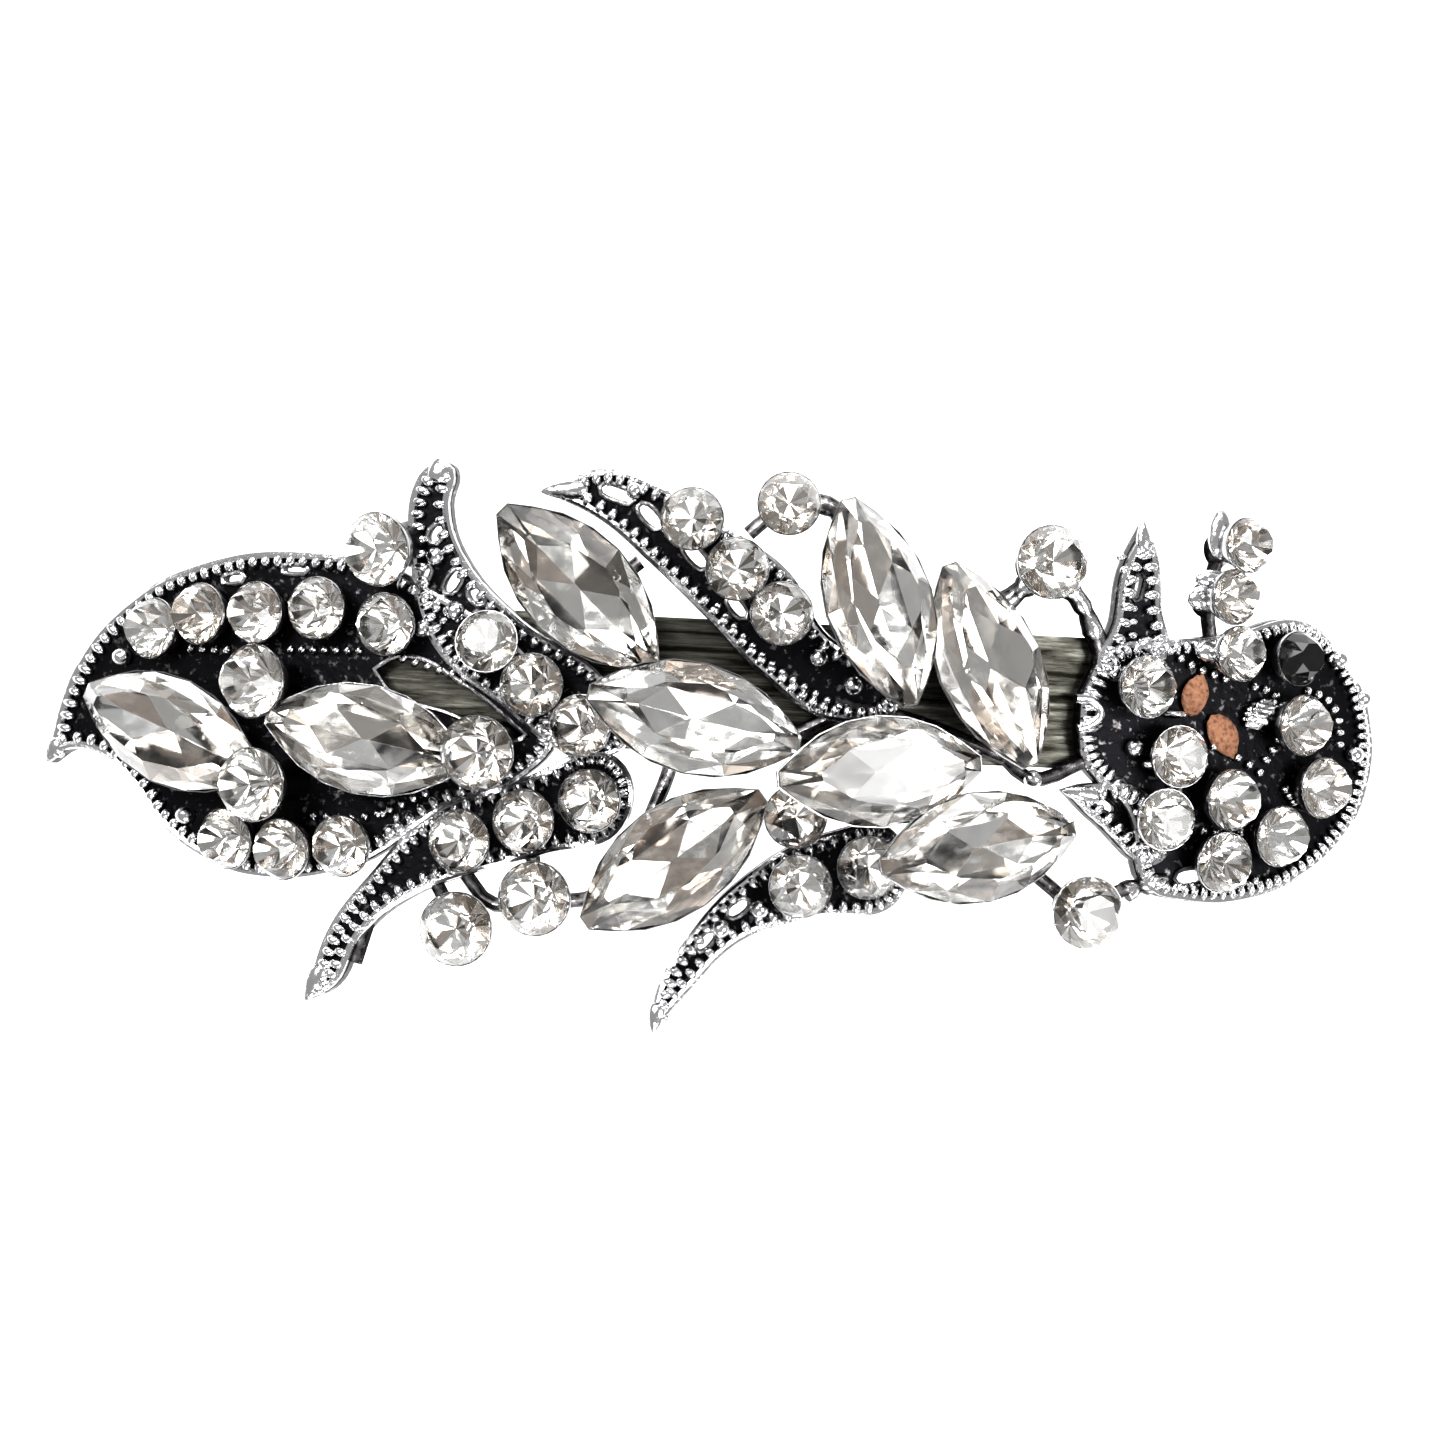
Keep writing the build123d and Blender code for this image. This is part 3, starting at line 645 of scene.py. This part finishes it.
# beads along the rims, inner rows and larger granules
bead = {
    "pitch": 0.84, "inset": 0.64, "height": -0.12,
    "along": 0.31, "across": 0.5, "up": 0.34,
    "acrossRange": (0.85, 1.12), "upRange": (0.9, 1.15),
    "around": 8, "rings": 5,
}
beadPitch = {"head": 0.66, "wing": 0.8, "crest_feather": 0.9}
collar = {"plate": "head", "leftOf": 24.6, "below": 3.5, "stretch": 1.35}   # longer beads at the neck
veinBead = {"pitch": 0.8, "size": (0.24, 0.32, 0.26), "height": -0.14}
innerRows = [
    [(-27.0, 1.1), (-22.6, 1.2)],
    [(-19.8, 0.8), (-15.9, -0.2)],
    [(-33.6, 0.9), (-31.2, 0.9)],
    [(-18.6, 5.5), (-18.1, 4.7), (-17.8, 3.9), (-17.3, 3.2), (-16.9, 2.5)],
    [(-0.5, 4.9), (0.9, 3.4), (2.3, 2.1), (3.7, 1.0), (5.4, 0.0), (7.2, -0.9)],
    [(-20.6, -8.8), (-18.0, -9.4)],
    [(-25.0, -9.2), (-21.6, -9.0), (-18.0, -7.4)],
    [(28.4, -11.2), (31.2, -11.0), (34.2, -10.6)],
    [(31.0, -2.3), (32.6, -2.9), (34.2, -3.8)],
    [(27.9, 3.5), (29.6, 2.6), (31.6, 2.0)],
    [(33.6, 1.6), (34.9, 1.2), (35.6, 0.2), (35.4, -1.6), (34.6, -3.0)],
    [(37.2, 1.5), (38.6, 1.0), (39.4, -0.2), (39.6, -1.8)],
    [(30.6, -7.6), (32.2, -7.7), (33.9, -7.4)],
    [(36.0, -4.8), (36.6, -5.6)],
    [(24.4, 9.2), (25.3, 6.4), (25.4, 4.4)],
]


def addBead(bm, point, run, size, height):
    # one egg, with its size given along the row, across it and up
    across = Vector((-run.y, run.x))
    turn = Matrix(((run.x * size[0], across.x * size[1], 0, point.x),
                   (run.y * size[0], across.y * size[1], 0, point.y),
                   (0, 0, size[2], height), (0, 0, 0, 1)))
    bmesh.ops.create_uvsphere(bm, u_segments=bead["around"], v_segments=bead["rings"], radius=1.0,
                              matrix=turn)


for name, shape in plates:
    bm = bmesh.new()
    pitch = beadPitch.get(name, bead["pitch"])
    outline = samplePath(outlineLoop(shape), plate["tipCorner"], True, pitch)
    for point, run in insetPath(outline, bead["inset"]):
        stretch = random.uniform(*bead["acrossRange"])
        if name == collar["plate"] and point.x < collar["leftOf"] and point.y < collar["below"]:
            stretch *= collar["stretch"]
        size = (bead["along"] * pitch / bead["pitch"], bead["across"] * stretch,
                bead["up"] * random.uniform(*bead["upRange"]))
        addBead(bm, point, run, size, bead["height"])
    bendMesh(bm)
    castPiece(name + "_beads", bm, **rounded)

bm = bmesh.new()
for row in innerRows:
    line = samplePath(row, (), False, veinBead["pitch"])
    for number, point in enumerate(line):
        run = (line[min(number + 1, len(line) - 1)] - line[max(number - 1, 0)]).normalized()
        addBead(bm, point, run, veinBead["size"], veinBead["height"])
bendMesh(bm)
castPiece("vein_beads", bm, **rounded)

granule = {"radius": 0.58, "sizeRange": (0.92, 1.08), "height": 0.02, "around": 20, "rings": 12}
granulePlaces = [
    (-18.0, 7.2), (-16.6, 3.9), (-18.6, 2.7), (-5.9, 11.7), (5.8, 2.0), (8.0, 0.4), (2.9, -13.5),
    (0.6, -14.8), (26.2, 3.8), (25.8, -2.6), (39.2, 3.6), (40.6, -2.4), (41.0, 1.2), (19.4, -4.8),
    (-38.2, 0.2), (-33.4, -9.6), (-20.0, -9.9),
]
bm = bmesh.new()
for x, y in granulePlaces:
    size = granule["radius"] * random.uniform(*granule["sizeRange"])
    bmesh.ops.create_uvsphere(bm, u_segments=granule["around"], v_segments=granule["rings"], radius=size,
                              matrix=Matrix.Translation((x, y, granule["height"])))
bendMesh(bm)
castPiece("granules", bm, **rounded)
print("beads and granules set")

# odd pieces on the head: a hooked link, oval knobs, a torn nugget and two bare patches
link = {
    "route": [(21.9, 0.3), (23.0, 0.2), (23.5, -0.6), (22.9, -1.3), (22.1, -1.6)],
    "spacing": 0.25, "radius": 0.34, "height": -0.05, "resolution": 3,
}
knob = {
    "places": [  # x, y, height, half length, half width
        (30.1, 3.6, 0.7, 1.0, 0.66), (29.7, 8.1, 1.3, 1.15, 0.62), (29.7, 6.9, 0.3, 1.1, 0.8),
        (30.6, 11.0, 0.3, 0.8, 1.6), (27.0, -3.6, 0.0, 0.7, 0.35), (28.3, -0.4, 0.0, 0.8, 0.3),
        (28.6, -5.4, -0.1, 0.5, 0.9),
    ],
    "halfHeight": 0.6, "around": 20, "rings": 12,
}
bm = tubeMesh(samplePath(link["route"], (), False, link["spacing"]), link["radius"], link["height"], False,
              link["resolution"])
for x, y, height, length, width in knob["places"]:
    shape = Matrix.Diagonal((length, width, knob["halfHeight"], 1.0))
    bmesh.ops.create_uvsphere(bm, u_segments=knob["around"], v_segments=knob["rings"], radius=1.0,
                              matrix=Matrix.Translation((x, y, height)) @ shape)
bendMesh(bm)
castPiece("head_knobs", bm, **rounded)

ballDetail = 4   # subdivisions of the balls that nugget and patches are shaped from
nugget = {
    "place": (33.9, -0.1, 0.15), "size": (1.05, 0.7, 0.6), "turn": 0.6,
    "crumple": 0.3, "waves": (7, 5, 9, 4),
}
bm = bmesh.new()
bmesh.ops.create_icosphere(bm, subdivisions=ballDetail, radius=1.0)
alongWave, acrossWave, upWave, backWave = nugget["waves"]
for vert in bm.verts:
    x, y, z = vert.co
    ripple = math.sin(x * alongWave + y * acrossWave) * math.cos(z * upWave - x * backWave)
    crumple = 1.0 + nugget["crumple"] * ripple
    stretched = Vector([part * size for part, size in zip(vert.co, nugget["size"])])
    vert.co = Matrix.Rotation(nugget["turn"], 3, "Z") @ stretched * crumple + Vector(nugget["place"])
bendMesh(bm)
castPiece("silver_nugget", bm, **rounded)

patch = {
    "places": [(29.6, 0.9, 1.35, 0.85, 75), (31.6, -1.6, 1.5, 0.95, -60)],  # x, y, half sizes, turn
    "halfThickness": 0.32, "height": -0.05,
    "pointed": 0.45, "lumps": 0.08, "alongWave": 9, "acrossWave": 8, "waveStart": 2,
}
bm = bmesh.new()
for x, y, length, width, turn in patch["places"]:
    blob = bmesh.ops.create_icosphere(bm, subdivisions=ballDetail, radius=1.0)
    turned = Matrix.Rotation(math.radians(turn), 3, "Z")
    for vert in blob["verts"]:
        along, across, up = vert.co
        narrow = 1.0 - patch["pointed"] * max(0.0, along) ** 2
        lengthwise = math.sin(along * patch["alongWave"] + patch["waveStart"])
        lumpy = 1.0 + patch["lumps"] * lengthwise * math.sin(across * patch["acrossWave"])
        local = Vector((along * length * lumpy, across * width * narrow, up * patch["halfThickness"]))
        vert.co = turned @ local + Vector((x, y, patch["height"]))
bendMesh(bm)
castPiece("bare_patches", bm, glue, **rounded)
print("head dressed")

# polished drops on the feather tips
tipDrop = {
    "places": [  # x, y, direction it points to, length, width
        (-10.2, 11.55, 184, 3.0, 1.25),
        (-18.1, 12.5, 95, 1.6, 1.5),
        (-24.5, -19.5, 248, 2.6, 1.2),
        (-3.1, -20.4, 262, 2.0, 1.1),
        (25.8, 10.5, 96, 2.2, 1.0),
        (22.6, -5.6, 172, 2.6, 1.1),
        (-42.9, -6.0, 240, 2.0, 1.2),
    ],
    "taper": 0.55, "widening": 1.3, "thickness": 1.08, "height": -0.1,
    "around": 20, "rings": 14,
}
bm = bmesh.new()
for x, y, direction, length, width in tipDrop["places"]:
    drop = bmesh.ops.create_uvsphere(bm, u_segments=tipDrop["around"], v_segments=tipDrop["rings"],
                                     radius=0.5)
    turn = Matrix.Rotation(math.radians(direction), 3, "Z")
    for vert in drop["verts"]:
        along, across, up = vert.co
        narrow = 1.0 - tipDrop["taper"] * (along + 0.5)
        local = Vector((along * length, across * width * narrow * tipDrop["widening"],
                        up * narrow * tipDrop["thickness"]))
        vert.co = turn @ local + Vector((x, y, tipDrop["height"]))
bendMesh(bm)
castPiece("feather_tips", bm, **rounded)
print("tips set")


def stoneSeat(node):
    # place and size of a stone, read from its CAD solid
    coordinates = np.array([v.co[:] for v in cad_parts[node].data.vertices])
    coordinates = np.unique(np.round(coordinates, 6), axis=0)
    middle = coordinates.mean(axis=0)
    directions = np.linalg.eigh(np.cov((coordinates - middle).T))[1]   # shortest first
    axis = Vector(directions[:, 0]) * (1.0 if directions[2, 0] > 0 else -1.0)
    depth = (coordinates - middle) @ np.array(axis)
    girdle = float(np.median(depth))
    long = Vector(directions[:, 2])
    if not node.startswith("navette"):
        long = (Vector((1, 0, 0)) - axis * axis.x).normalized()
    across = axis.cross(long)
    origin = Vector(middle) + axis * girdle
    flat = coordinates - np.array(origin)
    turn = Matrix((long, across, axis)).transposed().to_4x4()
    return {
        "matrix": Matrix.Translation(origin / mm) @ turn,
        "length": 2 * float(np.abs(flat @ np.array(long)).max()) / mm,
        "width": 2 * float(np.abs(flat @ np.array(across)).max()) / mm,
        "crown": (float(depth.max()) - girdle) / mm,
        "pavilion": (girdle - float(depth.min())) / mm,
        "height": (origin / mm - Vector((0, origin.y / mm, archCentreZ))).length - arch["radius"],
    }


roundCut = {  # each ring: corners, share of the radius, share of the crown or pavilion, turn in facets
    "crown": [(8, 0.56, 1.0, 0.5), (8, 0.83, 0.52, 0.0), (16, 0.995, 0.05, 0.0)],
    "pavilion": [(16, 0.995, -0.03, 0.0), (16, 0.03, -1.0, 0.0)],
}


def addRing(bm, corners, radius, height, facetTurn):
    # corners of a round cut at one level
    turn = Matrix.Translation((0, 0, height)) @ Matrix.Rotation(math.tau * facetTurn / corners, 4, "Z")
    bmesh.ops.create_circle(bm, segments=corners, radius=radius, matrix=turn)


def roundStone(seat):
    # all corners of a round stone
    bm = bmesh.new()
    radius = (seat["length"] + seat["width"]) / 4
    for part, depth in (("crown", seat["crown"]), ("pavilion", seat["pavilion"])):
        for corners, share, level, facetTurn in roundCut[part]:
            addRing(bm, corners, radius * share, depth * level, facetTurn)
    return bm


navetteCut = {  # each ring: shares of length, width and crown or pavilion, facets per side, between corners
    "bluntness": 0.14,    # half width of the tip, as a share of the stone's
    "shortening": 0.021,  # what the blunt tip takes off the half length
    "innerTip": 0.96,
    "crown": [(0.70, 0.62, 1.0, 4, False), (1.0, 0.995, 0.05, 6, False)],
    "pavilion": [(1.0, 0.995, -0.03, 6, False), (0.56, 0.58, -0.56, 2, True), (0.04, 0.04, -1.0, 1, False)],
}


def lensRing(bm, length, width, height, facets, shifted):
    # corners on the two arcs of a pointed oval, with blunt tips
    halfLength = length / 2
    halfWidth = width / 2
    arcRadius = (halfLength ** 2 + halfWidth ** 2) / width
    sweep = math.asin(min(1.0, halfLength / arcRadius))
    for side in (1, -1):
        for number in range(facets + 1):
            share = (number + 0.5) / facets if shifted else number / facets
            if share > 1.0:
                continue
            angle = sweep * (1 - 2 * share)
            across = arcRadius * math.cos(angle) - (arcRadius - halfWidth)
            along = arcRadius * math.sin(angle)
            if abs(along) > 0.999 * halfLength:
                along *= 1.0 - navetteCut["shortening"]
                across = navetteCut["bluntness"] * halfWidth
            bm.verts.new((along * side, across * side, height))
    if shifted:
        for side in (1, -1):
            bm.verts.new((halfLength * navetteCut["innerTip"] * side, 0, height))


def navetteStone(seat):
    # all corners of a pointed-oval stone
    bm = bmesh.new()
    for part, depth in (("crown", seat["crown"]), ("pavilion", seat["pavilion"])):
        for length, width, level, facets, shifted in navetteCut[part]:
            lensRing(bm, seat["length"] * length, seat["width"] * width, depth * level, facets, shifted)
    return bm


facetToneAndReflection = {  # foil behind a facet, from 0 for dark to 1 for white: its tint together with a painted reflection
    "bright": (0.6, 1.0), "deep": (0.3, 0.52), "darkest": (0.04, 0.26),
    "deepShare": 0.72,        # of the shaded facets, the rest being darkest
    "navetteShade": 0.36,     # share of shaded facets
    "roundShade": 0.12, "roundShadeSwing": 0.7,   # less and more from sector to sector, a painted wedge pattern of reflections
    "sectors": 16,
    "backBelow": -0.04,       # facets under the girdle are foil
}
flatWithin = math.radians(2.5)
cloudyStones = ["navette_spray_5", "navette_spray_7", "navette_spray_6"]


def cutStone(node, seat, pointed):
    # facets are the convex hull of the rings of corners
    bm = navetteStone(seat) if pointed else roundStone(seat)
    bmesh.ops.remove_doubles(bm, verts=bm.verts[:], dist=0.01)
    hull = bmesh.ops.convex_hull(bm, input=bm.verts[:], use_existing_faces=False)
    spare = [e for e in hull["geom_interior"] + hull["geom_unused"] if isinstance(e, bmesh.types.BMVert)]
    bmesh.ops.delete(bm, geom=list(set(spare)), context="VERTS")
    bmesh.ops.dissolve_limit(bm, angle_limit=flatWithin, verts=bm.verts[:], edges=bm.edges[:])
    bmesh.ops.recalc_face_normals(bm, faces=bm.faces[:])
    # each facet gets one foil value, dark or white at random: partly the foil's own tint, partly painted
    # reflection, with alternating sectors of mostly dark facets on round stones
    tintAndReflection = bm.faces.layers.float.new("tintAndReflection")
    for face in bm.faces:
        middle = face.calc_center_median()
        face.material_index = 1 if middle.z < facetToneAndReflection["backBelow"] else 0
        sector = math.floor(math.atan2(middle.y, middle.x) / (math.tau / facetToneAndReflection["sectors"])) % 2
        bright = random.uniform(*facetToneAndReflection["bright"])
        shade = facetToneAndReflection["deep" if random.random() < facetToneAndReflection["deepShare"] else "darkest"]
        deep = random.uniform(*shade)
        share = facetToneAndReflection["roundShade"] + facetToneAndReflection["roundShadeSwing"] * sector
        if pointed:
            share = facetToneAndReflection["navetteShade"]
        face[tintAndReflection] = deep if random.random() < share else bright
    if not pointed:
        bmesh.ops.rotate(bm, verts=bm.verts[:], cent=(0, 0, 0),
                         matrix=Matrix.Rotation(random.uniform(0, math.pi / 4), 3, "Z"))
    bmesh.ops.transform(bm, matrix=seat["matrix"], verts=bm.verts[:])
    materials = [glass, cloudyFoil if node in cloudyStones else foil]
    slotName = "crystal"
    if node == "eye_stone":
        materials = [blackStone, blackStone]
        slotName = "black_stone"
    piece = finishPiece(node + "_cut", bm, materials, slotName, smooth=False, weld=0)
    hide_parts(node)


stoneNames = sorted(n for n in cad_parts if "stone" in n or n.startswith("navette"))
seats = {name: stoneSeat(name) for name in stoneNames}
for name in stoneNames:
    cutStone(name, seats[name], name.startswith("navette"))
print("stones cut", len(stoneNames))

# cups and posts under the stones, with heights from the girdle; the foot's is from the plates
cup = {
    "wall": 0.065, "lip": -0.03, "floor": 0.45, "taper": 0.74, "postShare": 0.5,
    "foot": -0.9, "shortestPost": 0.3,
    "rubbedFrom": -0.9, "crestRubbedFrom": -3.4, "rubbedTo": 0.12,
    "segments": 28, "sideFacets": 8,
}
spinWeld = 0.004


def cupDepths(seat):
    # how far the cup's floor and its post reach down
    depth = seat["pavilion"] + cup["floor"]
    return depth, max(cup["shortestPost"], seat["height"] - depth - cup["foot"])


def spinProfile(bm, profile, centre, steps):
    # a turned solid from distances and heights
    x, y = centre
    verts = [bm.verts.new((x + reach, y, height)) for reach, height in profile]
    edges = [bm.edges.new(pair) for pair in zip(verts, verts[1:])]
    bmesh.ops.spin(bm, geom=verts + edges, cent=(x, y, 0), axis=(0, 0, 1), angle=math.tau, steps=steps,
                   use_merge=True)


def cupProfile(radius, pavilion, depth, postLength):
    # from the outside of the foot, up over the lip and down inside to the middle
    rim = radius + cup["wall"]
    post = rim * cup["postShare"]
    return [
        (0.001, -depth - postLength), (post * 1.25, -depth - postLength), (post, -depth - postLength * 0.6),
        (post, -depth + 0.05), (rim * cup["taper"] - 0.15, -depth), (rim * cup["taper"], -depth + 0.15),
        (rim - 0.02, -0.34), (rim, -0.08), (rim - 0.03, cup["lip"]), (radius + 0.01, cup["lip"]),
        (radius + 0.01, -0.14), (radius * 0.55, -pavilion * 0.66), (0.001, -pavilion - 0.12),
    ]


def paintRubbed(bm, low, high):
    # bright at the lip, dark towards the foot
    layer = bm.verts.layers.float.new("rubbed")
    for vert in bm.verts:
        vert[layer] = max(0.0, min(1.0, (vert.co.z - low) / (high - low)))


def roundCup(name, seat):
    bm = bmesh.new()
    depth, postLength = cupDepths(seat)
    radius = (seat["length"] + seat["width"]) / 4
    spinProfile(bm, cupProfile(radius, seat["pavilion"], depth, postLength), (0, 0), cup["segments"])
    bmesh.ops.remove_doubles(bm, verts=bm.verts[:], dist=spinWeld)
    bmesh.ops.recalc_face_normals(bm, faces=bm.faces[:])
    rubbedFrom = cup["crestRubbedFrom"] if name.startswith("crest") else cup["rubbedFrom"]
    paintRubbed(bm, rubbedFrom, cup["rubbedTo"])
    bmesh.ops.transform(bm, matrix=seat["matrix"], verts=bm.verts[:])
    return bm


def navetteCup(name, seat):
    # one ring at the foot, lifted and scaled from level to level
    bm = bmesh.new()
    depth, postLength = cupDepths(seat)
    wall = cup["wall"]
    length = seat["length"]
    width = seat["width"]
    levels = [  # share of length, share of width, height, extra wall
        (0.42, 0.46, -depth - postLength, 0), (0.40, 0.44, -depth + 0.02, 0), (0.70, 0.70, -depth, 0),
        (0.74, 0.74, -depth + 0.15, 0), (1.0, 1.0, -0.3, 1.8), (1.0, 1.0, -0.05, 2.0),
        (1.0, 1.0, cup["lip"], 1.8), (1.0, 1.0, cup["lip"], 0.3), (1.0, 1.0, -0.16, 0.3),
        (0.70, 0.72, -seat["pavilion"] * 0.6, 0), (0.30, 0.36, -seat["pavilion"] - 0.12, 0),
    ]
    sizes = [(length * along + extra * wall * 1.6, width * across + extra * wall, height)
             for along, across, height, extra in levels]
    lensRing(bm, *sizes[0], cup["sideFacets"], False)
    bmesh.ops.remove_doubles(bm, verts=bm.verts[:], dist=0.001)
    around = sorted(bm.verts, key=lambda v: math.atan2(v.co.y, v.co.x))
    ring = [bm.edges.new(pair) for pair in zip(around, around[1:] + around[:1])]
    foot = list(ring)
    for lower, upper in zip(sizes, sizes[1:]):
        grown = bmesh.ops.extrude_edge_only(bm, edges=ring)["geom"]
        corners = [part for part in grown if isinstance(part, bmesh.types.BMVert)]
        ring = [part for part in grown if isinstance(part, bmesh.types.BMEdge) and part.is_boundary]
        bmesh.ops.scale(bm, vec=(upper[0] / lower[0], upper[1] / lower[1], 1.0), verts=corners)
        bmesh.ops.translate(bm, vec=(0, 0, upper[2] - lower[2]), verts=corners)
    bmesh.ops.holes_fill(bm, edges=foot + ring, sides=0)
    bmesh.ops.recalc_face_normals(bm, faces=bm.faces[:])
    paintRubbed(bm, cup["rubbedFrom"], cup["rubbedTo"])
    bmesh.ops.transform(bm, matrix=seat["matrix"], verts=bm.verts[:])
    return bm


for pieceName, pointed, makeCup in (("round_cups", False, roundCup), ("navette_cups", True, navetteCup)):
    bm = bmesh.new()
    bm.verts.layers.float.new("rubbed")
    for name in stoneNames:
        if name.startswith("navette") == pointed:
            addInto(bm, makeCup(name, seats[name]))
    castPiece(pieceName, bm, cupMetal, weld=0)
print("cups set")

# pegs that hold the casting to the bar, spread into low heads underneath
peg = {
    "places": [(-21.5, -3.0), (-1.5, -1.5), (24.6, 0.4)],
    "profile": [(0.001, -1.2), (0.79, -1.2), (0.79, -2.0), (1.2, -2.02), (1.28, -2.12), (1.15, -2.28),
                (0.7, -2.38), (0.001, -2.39)],   # distance from the middle, height
    "segments": 28,
}
bm = bmesh.new()
for place in peg["places"]:
    spinProfile(bm, peg["profile"], place, peg["segments"])
bmesh.ops.remove_doubles(bm, verts=bm.verts[:], dist=spinWeld)
bmesh.ops.recalc_face_normals(bm, faces=bm.faces[:])
bendMesh(bm)
castPiece("casting_pegs", bm, weld=0)
print("pegs set")

# the clasp's parts keep their CAD shape and only get a finish
claspMetals = {
    "clip_bar": barMetal, "hinge_pin": armMetal, "clasp_arm": armMetal, "catch_base": barMetal,
    "catch_prong_front": springMetal, "catch_prong_rear": springMetal, "tension_spring": springMetal,
}
for node, metal in claspMetals.items():
    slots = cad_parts[node].data.materials
    slots.clear()
    slots.append(metal)
print("clasp finished")

# floor, lights and camera
ground = {
    "level": -0.066,   # under the clasp arm when it hangs fully open
    "halfSize": 8.0, "white": 0.95, "roughness": 0.9, "glow": 0.75,
}
floorMesh = bpy.data.meshes.new("floor")
bm = bmesh.new()
bmesh.ops.create_grid(bm, x_segments=1, y_segments=1, size=ground["halfSize"])
bmesh.ops.translate(bm, vec=(0, 0, ground["level"]), verts=bm.verts[:])
bm.to_mesh(floorMesh)
bm.free()
floor = bpy.data.objects.new("floor", floorMesh)
bpy.context.scene.collection.objects.link(floor)
floorPaint, nodes, links, shader = newMaterial("floorPaint")
shader.inputs["Base Color"].default_value = (ground["white"], ground["white"], ground["white"], 1.0)
shader.inputs["Roughness"].default_value = ground["roughness"]
shader.inputs["Emission Color"].default_value = (1.0, 1.0, 1.0, 1.0)
shader.inputs["Emission Strength"].default_value = ground["glow"]
floorMesh.materials.append(floorPaint)

studio = {
    "worldGrey": 0.38,
    "lamps": [  # name, place, size, watts
        ("keyLight", (-0.35, 0.30, 0.55), 0.35, 5.0),
        ("fillLight", (0.45, -0.10, 0.50), 0.30, 3.2),
        ("backLight", (0.05, 0.55, 0.35), 0.30, 2.8),
        ("frontLight", (0.0, -0.55, 0.40), 0.35, 2.8),
    ],
}
world = bpy.data.worlds.new("studio")
bpy.context.scene.world = world
world.use_nodes = True
grey = studio["worldGrey"]
world.node_tree.nodes["Background"].inputs["Color"].default_value = (grey, grey, grey, 1.0)
for name, place, size, watts in studio["lamps"]:
    lamp = bpy.data.lights.new(name, "AREA")
    lamp.size = size
    lamp.energy = watts
    holder = bpy.data.objects.new(name, lamp)
    bpy.context.scene.collection.objects.link(holder)
    holder.location = place
    holder.rotation_euler = (-Vector(place)).to_track_quat("-Z", "Y").to_euler()
bpy.context.scene.view_settings.view_transform = "Standard"

cameraView = {
    "place": (0.00013, -0.00221, 0.2728), "turn": 2.65,
    "lens": 105.0, "sensor": 36.0, "nearest": 0.01,
}
cameraData = bpy.data.cameras.new("camera")
cameraData.lens = cameraView["lens"]
cameraData.sensor_width = cameraView["sensor"]
cameraData.clip_start = cameraView["nearest"]
camera = bpy.data.objects.new("camera", cameraData)
bpy.context.scene.collection.objects.link(camera)
camera.location = cameraView["place"]
camera.rotation_euler = (0, 0, math.radians(cameraView["turn"]))
bpy.context.scene.camera = camera
print("studio ready")
